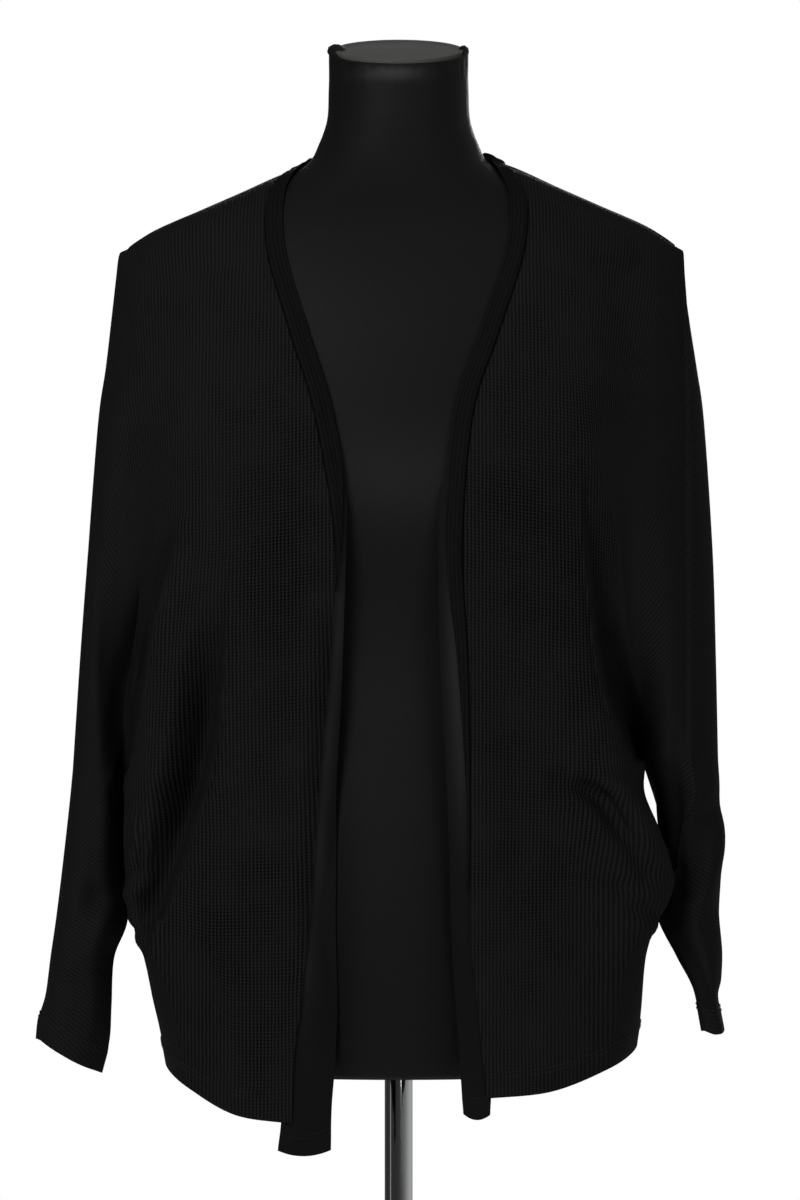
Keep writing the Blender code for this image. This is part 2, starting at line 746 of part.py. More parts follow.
def add_half(panel, label, sheets, normals, body_columns, arm_columns, mirrored=False):
    """Adds a side's grids to a panel, the lower two hung from the crotch row of the first."""
    top, lower, arm = sheets
    top_normals, lower_normals, arm_normals = normals
    top_keys = grid_keys(label + " top", len(top), top.shape[1])
    panel.sheet(top, top_normals, top_keys, mirrored)
    for name, sheet, its_normals, columns in (
        (" body", lower, lower_normals, body_columns),
        (" arm", arm, arm_normals, arm_columns),
    ):
        keys = grid_keys(label + name, len(sheet), sheet.shape[1])
        points, all_keys = joined(top[-1, columns], top_keys[-1][columns], sheet, keys)
        rows = np.concatenate([top_normals[-1, columns][None], its_normals])
        panel.sheet(points, rows, all_keys, mirrored)


def make_front(side, material):
    panel = Panel()
    normals = (
        side.top_normals[:, : SEAM_COLUMN + 1],
        side.lower_normals[:, : VALLEY_COLUMN + 1],
        side.arm_normals[:, : ARM_SEAM_COLUMN + 1],
    )
    body, arm = slice(0, VALLEY_COLUMN + 1), slice(VALLEY_COLUMN, SEAM_COLUMN + 1)
    add_half(panel, "front", front_sheets(side), normals, body, arm)
    return panel.build("front_" + side.name, material)


def make_back(sides, material):
    panel = Panel()
    valley = BACK_VALLEY_COLUMN - SEAM_COLUMN
    for side in sides:
        normals = (
            side.top_normals[:, SEAM_COLUMN:],
            side.lower_normals[:, VALLEY_COLUMN:],
            side.arm_normals[:, ARM_SEAM_COLUMN:],
        )
        body, arm = slice(valley, None), slice(0, valley + 1)
        mirrored = side.name == "right"
        add_half(panel, side.name, back_sheets(side), normals, body, arm, mirrored)
    merge_centre(panel)
    return panel.build("back", material)


def merge_centre(panel):
    """Makes the two halves share their points on the centre back line."""
    swap = {}
    for part, rows, column in (
        ("top", sum(UPPER_STEPS) + 1, CENTRE_COLUMN - SEAM_COLUMN),
        ("body", sum(BODY_STEPS), sum(BODY_COUNTS[3:])),
    ):
        for r in range(rows):
            left = panel.index[("left " + part, r, column)]
            right = panel.index[("right " + part, r, column)]
            middle = (panel.points[left] + panel.points[right]) / 2
            middle[0] = 0.0
            panel.points[left] = middle
            swap[right] = left
    panel.quads = [tuple(swap.get(i, i) for i in quad) for quad in panel.quads]
    used = sorted({i for quad in panel.quads for i in quad})
    place = {old: new for new, old in enumerate(used)}
    panel.points = [panel.points[i] for i in used]
    panel.normals = [panel.normals[i] for i in used]
    panel.quads = [tuple(place[i] for i in quad) for quad in panel.quads]


# ---------------------------------------------------------------- band and strips


def band_path(side):
    """Edge points of the opening, the direction across the opening and the surface direction."""
    places, across, outward = [], [], []
    for column in range(CENTRE_COLUMN, NAPE_COLUMN, -1):
        places.append(side.top[0, column])
        across.append(side.top[0, column] - side.top[1, column])
        outward.append(side.top_normals[0, column])
    for row in range(len(side.top)):
        places.append(side.top[row, 0])
        across.append(side.top[row, 0] - side.top[row, 1])
        outward.append(side.top_normals[row, 0])
    for row in range(len(side.lower)):
        places.append(side.lower[row, 0])
        across.append(side.lower[row, 0] - side.lower[row, 1])
        outward.append(side.lower_normals[row, 0])
    return np.array(places), unit(np.array(across)), np.array(outward)


def band_width(side, drop):
    start, end = BAND_TAPER[side.name]
    return BAND_WIDTH + (BAND_TIP_WIDTH - BAND_WIDTH) * eased((drop - start) / (end - start))


def to_table(point):
    """A point of the part's frame as x, y and drop."""
    return np.array([point[0], point[1], NECK_POINT_HEIGHT - point[2]])


def from_table(point):
    return np.array([point[0], point[1], NECK_POINT_HEIGHT - point[2]])


def make_band(side, material):
    """A narrow folded band along the opening, from the centre back to its tip."""
    places, across, outward = band_path(side)
    end = BAND_TAPER[side.name][1]
    drops = NECK_POINT_HEIGHT - places[:, 2]
    neck = CENTRE_COLUMN - NAPE_COLUMN
    keep = [i for i in range(len(places)) if i <= neck or drops[i] <= end]
    sign = 1.0 if side.name == "left" else -1.0
    rings = []
    for i in keep:
        place = places[i].copy()
        direction = across[i]
        width = band_width(side, drops[i] if i > neck else 0.0)
        inner = -CLOTH / 2
        outer = inner + min(BAND_THICKNESS, max(CLOTH, 0.5 * width))
        far = from_table(
            off_form(to_table(place + direction * (BAND_GAP + width)), CLOTH / 2 + BAND_REST)
        )
        direction = unit(far - place)
        before, after = places[max(i - 1, 0)], places[min(i + 1, len(places) - 1)]
        along = unit(after - before)
        if i == 0:
            along = np.array([sign, 0.0, 0.0])
            place[0] += sign * SEAM_GAP / 2
        thick = unit(np.cross(direction, along))
        if np.dot(thick, outward[i]) < 0:
            thick = -thick
        edge = BAND_EDGE_THICKNESS / 2
        bevel = min(BAND_BEVEL, width / 4)
        near, free = BAND_GAP, BAND_GAP + width
        profile = (
            (near, -edge), (near + bevel, inner), (free - bevel, inner), (free, -edge),
            (free, edge), (free - bevel, outer), (near + bevel, outer), (near, edge),
        )
        rings.append([place + direction * u + thick * v for u, v in profile])
    return tube_object("band_" + side.name, rings, material)


def tube_object(name, rings, material):
    """A closed solid through rings of equal point count, with flat ends."""
    count = len(rings[0])
    vertices = [point for ring in rings for point in ring]
    faces = []
    for r in range(len(rings) - 1):
        for c in range(count):
            a, b = r * count + c, r * count + (c + 1) % count
            faces.append((a, b, b + count, a + count))
    faces.append(tuple(range(count)))
    faces.append(tuple((len(rings) - 1) * count + c for c in reversed(range(count))))
    return add_object(name, vertices, faces, material)


def front_surface(side):
    """Drop and a curve of x and y for each row of the front, from its edge to its ridge."""
    inner = sum(FRONT_COUNTS[:2]) + 1
    rows = np.concatenate([side.top[:, :inner], side.lower[:, :inner]])
    drops = NECK_POINT_HEIGHT - rows[:, 0, 2]
    return drops, rows


def depth_of_front(side, x, drop):
    """y of the front's middle surface at this place, flat past its edge."""
    drops, rows = front_surface(side)
    depths = [np.interp(x, np.abs(row[:, 0]), row[:, 1]) for row in rows]
    return float(np.interp(drop, drops, depths))


def make_strip(side, material):
    """The smooth strip that hangs beside the front, tucked behind the front's edge."""
    sections = through(STRIP[side.name], [STRIP_STEPS] * (len(STRIP[side.name]) - 1))
    end = sections[-1][0]
    sign = 1.0 if side.name == "left" else -1.0
    points = []
    for drop, x_free, x_under, turn in sections:
        line = []
        for part in STRIP_PARTS:
            x = mixed(x_free, x_under, part)
            y = depth_of_front(side, x, drop) + STRIP_BEHIND + turn * (1 - part) ** STRIP_ROLL
            corner = STRIP_ROUND * (2 * part - 1) ** 2 * eased(1 - (end - drop) / STRIP_ROUND_FADE)
            line.append((sign * x, y, NECK_POINT_HEIGHT - drop + corner))
        points.append(line)
    points = np.array(points)
    panel = Panel()
    keys = grid_keys("strip", len(points), len(STRIP_PARTS))
    panel.sheet(points, -sign * normals_of(points), keys)
    return panel.build("strip_" + side.name, material)


# ---------------------------------------------------------------- form, cap, pole and base


def form_ring(drop, inset=0.0):
    """A ring of the form's points. Near the top of the neck it tilts down at the front."""
    half_width, front, back = form_sizes(drop) - inset
    tilt = math.tan(math.radians(NECK_TOP_TILT)) * eased(
        1 - (drop - FORM_DROPS[0]) / NECK_TILT_FADE
    )
    ring = []
    for i in range(FORM_SEGMENTS):
        angle = 2 * math.pi * i / FORM_SEGMENTS
        reach = (
            abs(math.cos(angle)) ** FORM_ROUNDNESS + abs(math.sin(angle)) ** FORM_ROUNDNESS
        ) ** (-1 / FORM_ROUNDNESS)
        x = half_width * reach * math.cos(angle)
        y = (front if math.sin(angle) < 0 else back) * reach * math.sin(angle)
        ring.append((x, y, NECK_POINT_HEIGHT - drop + tilt * y))
    return ring


def make_form(material):
    rings = [form_ring(drop) for drop in FORM_DROPS]
    rings.append(form_ring(FORM_BOTTOM_DROP, FORM_EDGE_INSET))
    form = tube_object("dress_form", rings, material)
    bottom = NECK_POINT_HEIGHT - FORM_BOTTOM_DROP
    top = bottom + POLE_IN_FORM + POLE_FIT
    cutter = round_bar("pole_bore", POLE_RADIUS + POLE_FIT, bottom - 10, top)
    cutter.hide_render = True
    cutter.display_type = "WIRE"
    bore = form.modifiers.new("Pole bore", "BOOLEAN")
    bore.object = cutter
    bore.operation = "DIFFERENCE"
    return form


def make_cap(material):
    """The flat plate on the end of the neck."""
    tilt = math.tan(math.radians(NECK_TOP_TILT))
    middle = (form_sizes(FORM_DROPS[0])[2] - form_sizes(FORM_DROPS[0])[1]) / 2
    top = NECK_POINT_HEIGHT - FORM_DROPS[0]
    rings = []
    shoulder = SEAM_GAP + CAP_THICKNESS - CAP_BEVEL
    for lift, inset in ((SEAM_GAP, 0), (shoulder, 0), (shoulder + CAP_BEVEL, CAP_BEVEL)):
        ring = []
        for i in range(ROUND_SEGMENTS):
            angle = 2 * math.pi * i / ROUND_SEGMENTS
            x = (CAP_HALF_WIDTH - inset) * math.cos(angle)
            y = middle + (CAP_HALF_DEPTH - inset) * math.sin(angle)
            ring.append((x, y, top + lift + tilt * y))
        rings.append(ring)
    return tube_object("neck_cap", rings, material)


def round_bar(name, radius, bottom, top, material=None):
    """An upright round bar between two heights."""
    mesh = bpy.data.meshes.new(name)
    shape = bmesh.new()
    bmesh.ops.create_cone(
        shape,
        cap_ends=True,
        segments=ROUND_SEGMENTS,
        radius1=radius * MM,
        radius2=radius * MM,
        depth=(top - bottom) * MM,
        matrix=Matrix.Translation((0, 0, (top + bottom) / 2 * MM)),
    )
    shape.to_mesh(mesh)
    shape.free()
    if material:
        mesh.materials.append(material)
    obj = bpy.data.objects.new(name, mesh)
    bpy.context.collection.objects.link(obj)
    mesh.shade_smooth()
    mesh.set_sharp_from_angle(angle=math.radians(40))
    return obj


def make_base(material):
    """A round steel foot with a hub that holds the pole."""
    bore = POLE_RADIUS + POLE_FIT
    profile = (
        (BASE_RADIUS, 0), (BASE_RADIUS, BASE_EDGE), (BASE_RADIUS - 3, BASE_TOP),
        (HUB_RADIUS + 6, BASE_TOP), (HUB_RADIUS + 1, BASE_TOP + 5), (HUB_RADIUS, HUB_HEIGHT - 2),
        (HUB_RADIUS - 2, HUB_HEIGHT), (bore, HUB_HEIGHT), (bore, BASE_FLOOR),
    )
    rings = [
        [
            (r * math.cos(a), r * math.sin(a), z)
            for a in (2 * math.pi * i / ROUND_SEGMENTS for i in range(ROUND_SEGMENTS))
        ]
        for r, z in profile
    ]
    return tube_object("base", rings, material)


def main():
    for obj in list(bpy.data.objects):
        bpy.data.objects.remove(obj, do_unlink=True)
    knit = make_material("knit_black", KNIT_BLACK, 0.85)
    smooth = make_material("smooth_black", SMOOTH_BLACK, 0.75)
    jersey = make_material("jersey_black", JERSEY_BLACK, 0.8)
    grey = make_material("cap_grey", CAP_GREY, 0.6)
    chrome = make_material("chrome", CHROME, 0.12, 1.0)
    left, right = Side("left"), Side("right")
    for side in (left, right):
        make_front(side, knit)
        make_band(side, knit)
        make_strip(side, smooth)
    make_back((left, right), knit)
    make_form(jersey)
    make_cap(grey)
    pole_top = NECK_POINT_HEIGHT - FORM_BOTTOM_DROP + POLE_IN_FORM - SEAM_GAP
    round_bar("pole", POLE_RADIUS, BASE_FLOOR + SEAM_GAP, pole_top, chrome)
    make_base(chrome)


main()
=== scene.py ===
"""Looks of the cardigan on its dress form.

Every cloth piece is a thin shell on its solid's form: the same named sections as in the part's
source, worked out at finer steps, with the smaller creases, seam ridges and turned hems added.
The knit's ribs follow the cut: straight down the fronts and the back, fanning out over the
shoulders and lying nearly across the sleeves, because the sleeves are cut in one with them.

Lengths in the tables are in millimetres. A drop is measured down from the neck point.
"""

import math
from collections import namedtuple

import bmesh
import bpy
import numpy as np
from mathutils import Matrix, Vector


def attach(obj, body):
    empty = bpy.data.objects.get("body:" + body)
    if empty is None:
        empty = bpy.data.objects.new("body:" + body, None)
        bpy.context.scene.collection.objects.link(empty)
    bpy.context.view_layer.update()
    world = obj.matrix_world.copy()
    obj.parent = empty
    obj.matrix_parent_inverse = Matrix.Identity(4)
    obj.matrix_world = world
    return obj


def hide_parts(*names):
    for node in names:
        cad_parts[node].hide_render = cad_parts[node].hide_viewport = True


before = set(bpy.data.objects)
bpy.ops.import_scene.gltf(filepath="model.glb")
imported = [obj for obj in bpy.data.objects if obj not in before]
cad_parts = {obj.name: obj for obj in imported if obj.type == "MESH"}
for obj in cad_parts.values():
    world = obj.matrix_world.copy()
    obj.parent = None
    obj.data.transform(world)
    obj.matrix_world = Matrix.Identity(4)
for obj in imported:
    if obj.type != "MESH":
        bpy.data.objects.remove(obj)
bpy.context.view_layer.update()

MM = 0.001

NECK_POINT_HEIGHT = 1400.0
CLOTH = 1.5
HEM_THICKNESS = 2.6
HEM_DEPTH = 19.0
SEAM_GAP = 0.3
REST_GAP = 0.8
BAND_REST = 1.5

# How much finer than the solids the visual sheets are.
FINE_BACK = 5
FINE_ROWS = 6
FINE_BODY_ROWS = 8
FINE_SLEEVE_ROWS = 8

FORM_ROUNDNESS = 2.15
SHOULDER_SLOPE = 0.9
SHOULDER_CORNER = 12


def table(columns, *rows):
    """Rows of numbers under named columns."""
    row_type = namedtuple("Row", columns)
    return [row_type(*row) for row in rows]


# Sections of one side from the shoulder seam down to the crotch, where the underarm seam starts.
# edge: seam with the band. ridge: where the front turns back. valley: between body and sleeve.
# fold: front of the sleeve. seam: the overarm seam. out: the sleeve's outermost point.
UPPER_COLUMNS = (
    "drop_edge drop_out x_edge y_edge x_ridge y_ridge x_valley y_valley "
    "x_fold y_fold x_seam y_seam x_out"
)
UPPER = {
    "left": table(
        UPPER_COLUMNS,
        (12, 75, 80, 0, 122, 0, 150, 0, 182, 0, 209.5, 0, 206.5),
        (22.5, 80.5, 87, -34, 126, -32, 155, -29, 188, -23, 210.5, -7, 211),
        (47, 96, 93, -62, 132, -57, 160, -50, 192, -38, 210.5, -18, 211.5),
        (87, 126, 91, -90, 138, -82, 164, -68, 195, -52, 211.5, -32, 216),
        (145, 166, 73, -114, 138, -100, 166, -82, 197, -60, 212.5, -42, 223),
        (205, 205, 54, -125, 138, -110, 166, -90, 198, -66, 213, -48, 228.5),
        (300, 300, 46.5, -129, 136, -114, 168, -84, 198, -68, 213, -51, 235),
        (380, 380, 50.5, -128, 142, -114, 172, -62, 199, -66, 213.5, -52, 237.5),
        (455, 455, 52, -126, 158, -106, 182, -1.3, 200, -56, 214, -50, 239),
    ),
    "right": table(
        UPPER_COLUMNS,
        (17.5, 77, 82, 0, 122, 0, 150, 0, 180, 0, 205, 0, 202),
        (28, 83, 90, -34, 128, -32, 157, -29, 184, -23, 207, -5, 207.8),
        (50, 98, 95, -60, 134, -57, 164, -49, 189, -37, 208.5, -9, 209),
        (88, 127, 95, -88, 140, -80, 172, -62, 195, -46, 211.5, -12, 212.5),
        (145, 166, 79, -112, 144, -97, 182, -70, 202, -48, 216, -13, 217.5),
        (205, 205, 61, -123, 148, -104, 194, -62, 209, -48, 221.5, -14, 223),
        (300, 300, 46, -129, 153, -104, 203, -50, 218, -46, 229, -14, 230.5),
        (380, 380, 50.5, -128, 171, -100, 208, -28, 223, -45, 235, -14, 236.5),
        (465, 465, 59, -125, 190, -84, 205.5, -1.3, 223, -44, 240.5, -14, 242.5),
    ),
}

# The same sections round the back. nape: level with the band seam. centre: the middle of the back.
BACK = table(
    "drop_centre y_centre y_nape y_ridge y_valley y_fold",
    (15, 75, 0, 0, 0, 0),
    (38, 90, 37, 33, 29, 22),
    (64, 97, 70, 59, 50, 36),
    (105, 103, 91, 79, 66, 48),
    (155, 105, 99, 89, 76, 54),
    (205, 105, 101, 92, 78, 58),
    (300, 106, 103, 92, 70, 60),
    (380, 107, 104, 92, 50, 60),
    (460, 108, 104, 88, 1.3, 54),
)

# The body below the crotch. side: the side seam. The last row is the hem.
BODY_COLUMNS = (
    "drop_edge drop_side drop_back x_edge y_edge x_ridge y_ridge x_side y_side y_back y_centre"
)
BODY = {
    "left": table(
        BODY_COLUMNS,
        (482, 482, 488, 52, -126, 165, -98, 180.5, -3, 86, 108),
        (510, 510, 522, 52, -125, 184, -82, 190, -6, 85, 109),
        (545, 545, 560, 51.5, -124, 200.5, -56, 196, 6, 83, 110),
        (575, 575, 588, 51.5, -123, 186.5, -66, 188.5, 2, 83, 111),
        (605, 605, 618, 54, -122, 166, -82, 183, -4, 84, 112),
        (645, 645, 652, 58.5, -121, 158, -82, 180, 0, 83, 112),
        (697, 669, 691, 63.5, -120, 152, -80, 177, 0, 80, 112),
    ),
    "right": table(
        BODY_COLUMNS,
        (495, 495, 488, 62, -124, 200, -58, 198.5, 0, 86, 108),
        (540, 540, 522, 65.5, -123, 200, -56, 198, 0, 85, 109),
        (578, 578, 560, 68, -122, 194, -62, 197, 0, 84, 110),
        (602, 602, 588, 69.5, -122, 177, -74, 188.5, 0, 84, 111),
        (633, 633, 618, 71, -121, 165, -80, 182.5, 0, 83, 112),
        (662, 655, 652, 75, -120, 159, -80, 177.5, 0, 82, 112),
        (715, 681, 692, 77.5, -120, 152, -78, 173, 0, 80, 112),
    ),
}

# The sleeve below the crotch: a tube whose last row is the cuff. twist: degrees that it rolls
# forwards and inwards about its own length.
SLEEVE_COLUMNS = "drop_in drop_out x_in x_out y_front y_back twist"
SLEEVE = {
    "left": table(
        SLEEVE_COLUMNS,
        (482, 482, 191, 240, -46, 54, 14),
        (507, 507, 195, 240.5, -39, 54, 42),
        (546, 546, 202.5, 241, -31, 54, 78),
        (575, 575, 196.5, 240.5, -31, 53, 92),
        (602, 602, 209, 242.5, -34, 51, 95),
        (622, 622, 220, 241.5, -37, 49, 95),
        (635, 635, 224.5, 239, -38, 47, 95),
        (659.5, 659.5, 229, 243, -41, 46, 95),
    ),
    "right": table(
        SLEEVE_COLUMNS,
        (495, 495, 206, 245, -42, 46, 0),
        (540, 540, 205, 250.5, -41, 46, 0),
        (578, 578, 204, 255.5, -40, 44, 0),
        (606, 604, 214, 259, -38, 40, 0),
        (642, 632, 216, 263, -33, 35, 0),
        (668, 650, 217.5, 268.5, -31, 33, 0),
        (692.5, 664.5, 223.5, 270, -29, 31, 0),
    ),
}

# Angles of the sleeve's fold, seam, outermost point and back fold before its twist: 0 outwards,
# 90 forwards, 180 inwards.
SLEEVE_ANGLES = {"left": (118, 68, -4, -92), "right": (98, 24, -16, -96)}

# Largest drape folds. Each runs down through three places and moves the cloth in (+) or out (-).
FOLD_COLUMNS = "panel x_top drop_top x_middle drop_middle x_end drop_end depth half_width"
FOLDS = {
    "left": table(
        FOLD_COLUMNS,
        ("front", 128, 462, 146, 484, 166, 520, 7, 9),
        ("front", 92, 320, 100, 480, 104, 640, 3, 20),
        ("back", 150, 330, 158, 440, 172, 560, 12, 16),
        ("back", 64, 200, 74, 430, 92, 660, 6, 22),
    ),
    "right": table(
        FOLD_COLUMNS,
        ("front", 136, 330, 148, 430, 178, 565, 6, 15),
        ("front", 184, 300, 198, 390, 200, 460, -7, 9),
        ("front", 96, 360, 104, 520, 112, 680, 3, 20),
        ("back", 146, 320, 156, 440, 176, 570, 14, 17),
        ("back", 52, 240, 60, 460, 84, 670, 6, 24),
    ),
}

# The smooth strip beside each front: x of its free inner edge, and how far that edge turns back.
STRIP_COLUMNS = "drop x_free x_under turn_back"
STRIP = {
    "left": table(
        STRIP_COLUMNS,
        (243, 30, 38, 0.5),
        (300, 29, 42, 2.5),
        (360, 29.5, 48, 4),
        (410, 31.5, 50, 5),
        (470, 35, 54, 5.5),
        (545, 37.5, 55, 6),
        (600, 39.5, 58, 7),
        (650, 43, 64, 7),
        (688, 45.5, 66.5, 6),
        (713, 47, 66, 4),
    ),
    "right": table(
        STRIP_COLUMNS,
        (243, 37, 44, 0.5),
        (300, 38, 50, 2.5),
        (360, 40, 56, 4.5),
        (410, 42, 60, 6),
        (480, 45.5, 67, 8),
        (545, 44.5, 72, 9),
        (620, 44.5, 77, 10),
        (670, 46, 83, 9),
        (705, 48.5, 84, 7),
        (739, 49, 87, 5),
    ),
}

# Where each band has its full width, and where it has tapered away beside the strip.
BAND_TAPER = {"left": (235, 550), "right": (225, 335)}

# Sections of the dress form, from the top of the neck to the bottom.
FORM = table(
    "drop half_width front back",
    (-71, 52, 56, 50),
    (-45, 52.5, 56, 51),
    (-18, 54.5, 57, 55),
    (-3, 60, 60, 61),
    (10, 67, 64, 68),
    (24, 88, 70, 74),
    (36, 115, 76, 80),
    (47, 142, 82, 86),
    (58, 169, 87, 90),
    (68, 187, 91, 93),
    (79, 197, 95, 95),
    (97, 201, 101, 98),
    (130, 196, 110, 101),
    (175, 184, 118, 99),
    (220, 167, 122, 94),
    (260, 155, 120, 88),
    (310, 143, 110, 81),
    (380, 132, 97, 77),
    (440, 137, 97, 84),
    (510, 153, 104, 98),
    (590, 165, 108, 104),
    (650, 166, 106, 102),
    (674, 162, 103, 99),
    (684, 154, 96, 92),
)
FORM_BOTTOM_DROP = 687.0
FORM_EDGE_INSET = 4.0

# Shape of a section between its table values. FLATNESS: how much of the front's turning is done
# halfway to its ridge. OUTER_DEPTH: the sleeve's outermost point as a share of its back depth.
# NAPE_PLACE, NAPE_ROUND and NAPE_FALL: an extra point that keeps the neckline round at the back.
# BLADE: two points that keep the back broad below the crotch. CROTCH_HALF: half of what always
# stays between front and back.
FLATNESS = 0.25
OUTER_DEPTH = 0.06
NAPE_PLACE = 0.62
NAPE_ROUND = 0.22
NAPE_FALL = 0.7
HEM_RISE_FLAT = 0.12
HEM_RISE_RIDGE = 0.6
BACK_CORNER_IN = 14.0
BLADE_FROM_EDGE = 25.0
BLADE_DEPTH = 0.7
BLADE_FLAT = 1.0
CROTCH_HALF = 1.3
FOLD_START = 0.35
FOLD_FADE = 0.3

# Sizes that the solids have too.
BAND_WIDTH = 13.5
BAND_THICKNESS = 3.2
BAND_TIP_WIDTH = 1.6
BAND_GAP = 0.4
STRIP_BEHIND = 2.2
STRIP_ROLL = 1.7
STRIP_ROUND = 4.0
STRIP_ROUND_FADE = 20.0
NECK_TOP_TILT = 16.0
NECK_TILT_FADE = 60.0
CAP_THICKNESS = 4.0
CAP_BEVEL = 1.0
POLE_RADIUS = 10.5
POLE_FIT = 0.3
POLE_IN_FORM = 60.0
BASE_RADIUS = 160.0
BASE_EDGE = 5.0
BASE_TOP = 8.0
BASE_FLOOR = 4.0
HUB_RADIUS = 20.0
HUB_HEIGHT = 34.0

# Moving points off the form: how often, and over what distance its slope is taken.
OFF_FORM_ROUNDS = 8
FIELD_STEP = 0.5

# Creases. The lips are the cloth that stands up beside them: its height as a share of the depth,
# and its place and half width in half widths of the crease.
CREASE_STEPS = 8
CREASE_LIPS = (0.26, 2.0, 0.9)
DRAPE_LIPS = (0.08, 2.1, 0.8)
SEAM_CALM = 16.0
DRAPE_CALM = 30.0
SEAM_RIDGE = 2.2
SEAM_RIDGE_WIDTH = 2.2
EDGE_DIP = 0.9
EDGE_DIP_WIDTH = 6.0
EDGE_ROLL = {"left": 0.0, "right": 11.0}
EDGE_ROLL_WIDTH = 17.0
ROLL_FROM = 310.0
ROLL_TO = 560.0
ROLL_FADE = 80.0

# The knit. FAN: where its ribs fan out over the shoulder. CROWD and STRETCH: how close together
# or how far pulled apart they run into one tone.
RIB_PITCH = 2.7
RUNG_PITCH = 2.4
RIB_WANDER = 0.9
FAN_TOP = 120.0
FAN_HEIGHT = 200.0
FAN_MIX = 0.16
RIDGE_FROM = 300.0
RIDGE_FOLLOW = 0.35
GROWTH_FROM = 0.3
CROWDED_TONE = 0.36
CROWD_FROM = 1.35
CROWD_FADE = 0.9
SLEEVE_SHOWN = 0.6
STRETCH_BEGINS = 1.6
STRETCH_FADES = 1.2
SHORTEST_STEP = 0.1
# How far the ribs have turned from hanging straight down, in degrees, down the sleeve.
RIB_DROPS = (60, 120, 220, 330, 455, 560, 700)
RIB_ANGLES = (8, 16, 27, 38, 50, 62, 76)

# Hems, bands, strips and stitches. NECK_PRESS: how much thinner the band is beside the neck point.
HEM_STEP = 4.0
BAND_ROUND = 20
BAND_SMOOTHING = 60
BAND_CORNER = 0.8
BAND_RIDGE = 0.18
BAND_HIGH = 1.6
BAND_LOW = 0.15
BAND_GROOVE = 0.3
NECK_PRESS = 0.5
NECK_PRESS_RUN = 45.0
STRIP_FINE = 10
STRIP_COLUMNS_FINE = 17
STRIP_LOOKS = 4
STRIP_WAVE = 0.8
STRIP_WAVE_LENGTH = 38.0
STRIP_WAVE_START = 1.3
STRIP_HEM = 17.0
STRIP_HEM_STEP = 2.0
STRIP_HEM_WALL = 2.2
STRIP_TOP_TUCK = 4.5
STRIP_TOP_RUN = 28.0
STITCH_PITCH = 3.0
STITCH_SHARE = 0.74
STITCH_SIDES = 5
# A stitch's ends dive into the cloth and its middle stands proud.
STITCH_LIFTS = (-0.3, 0.35, -0.3)
STITCH_SIZES = (0.5, 1.0, 0.5)
THREAD = 0.7
HEM_STITCH_LINES = (18.0, 14.8)
STRIP_STITCH_LINES = (15.5, 12.5)

# The form's cover. Gathers: how many round it, their height and where they begin.
FORM_SEGMENTS = 144
FORM_STEP = 4.0
GATHER_DEPTH = 12.0
GATHERS = ((31, 0.25, 0.4), (47, 0.18, 1.9), (19, 0.2, 2.7))
# Its rolled edge round the neck plate, ring by ring from the inside. in_share and up_share: how
# far a tuft draws the ring in and up.
COLLAR = table(
    "inset rise in_share up_share",
    (3.2, 0.2, 1.0, 0.0),
    (2.8, 1.4, 0.85, 0.55),
    (2.0, 2.1, 0.5, 0.95),
    (1.1, 2.1, 0.2, 1.0),
    (0.3, 1.4, -0.1, 0.75),
    (0.0, 0.4, -0.15, 0.35),
)
# Where that edge is bunched into tufts: the turn from the wearer's left, and the tuft's size.
COLLAR_TUFTS = table(
    "turn half_turn height inwards",
    (0.0, 0.2, 4.8, 6.0),
    (math.pi, 0.34, 5.6, 11.0),
)

# The neck plate and the foot. How their flat tops are drawn in and raised, step by step. The
# plate: its rim, the step down from it and the middle. The foot: its rounded edge, its plate, the
# hub's flare, wall and rounded edge, and the bore, as wide as the pole and straight down.
PLATE_HALF_WIDTH = 48.6
PLATE_HALF_DEPTH = 50.5
CAP_STEPS = ((4.5, 0), (0.8, -0.7), (12, 0.5))
FOOT_STEPS = (
    (3, BASE_TOP - BASE_EDGE),
    (BASE_RADIUS - HUB_RADIUS - 9, 0),
    (5, 5),
    (1, HUB_HEIGHT - BASE_TOP - 7),
    (2, 2),
    (HUB_RADIUS - 2 - POLE_RADIUS - POLE_FIT, 0),
    (0, BASE_FLOOR - HUB_HEIGHT),
)
TOP_FACING = 0.9
STEEL_BEVEL = 0.8
CYLINDER_SIDES = 96
FOOT_SIDES = 128

# Finishes. OPEN: how far open the knit's mesh is, from place to place. FURROW, FUZZ and GRAIN:
# shares of a cloth's relief. HAZE and MARKS: what they add to a metal's least roughness.
OPEN_VARIES = 1.8
OPEN_LEAST = 0.2
TONE_VARIES = 0.24
FURROW_SHARE = 0.6
FUZZ_SHARE = 0.25
GRAIN_SHARE = 0.4
COURSE_PITCH = 1.3
WALE_PITCH = 1.5
WEAVE_PITCH = 1.0
CHROME_HAZE = 0.08
CHROME_ROUGH = 0.05
STEEL_MARKS = 0.16
STEEL_ROUGH = 0.26

# Where the knit is stretched so that its gaps show.
WHOLE_PANEL = 9999.0
OPENWORK_COLUMNS = "panel x drop half_width half_height share"
OPENWORK = table(
    OPENWORK_COLUMNS,
    ("front", 0, 300, WHOLE_PANEL, WHOLE_PANEL, 0.3),
    ("back", 0, 300, WHOLE_PANEL, WHOLE_PANEL, 0.3),
    ("front", -88, 320, 38, 120, 0.8),
    ("front", -160, 420, 22, 90, 0.45),
    ("front", -105, 600, 60, 100, 0.7),
    ("front", 90, 300, 42, 110, 0.7),
    ("front", 136, 330, 22, 120, 0.5),
    ("front", 100, 520, 40, 90, 0.4),
    ("back", 0, 330, 90, 150, 0.5),
)

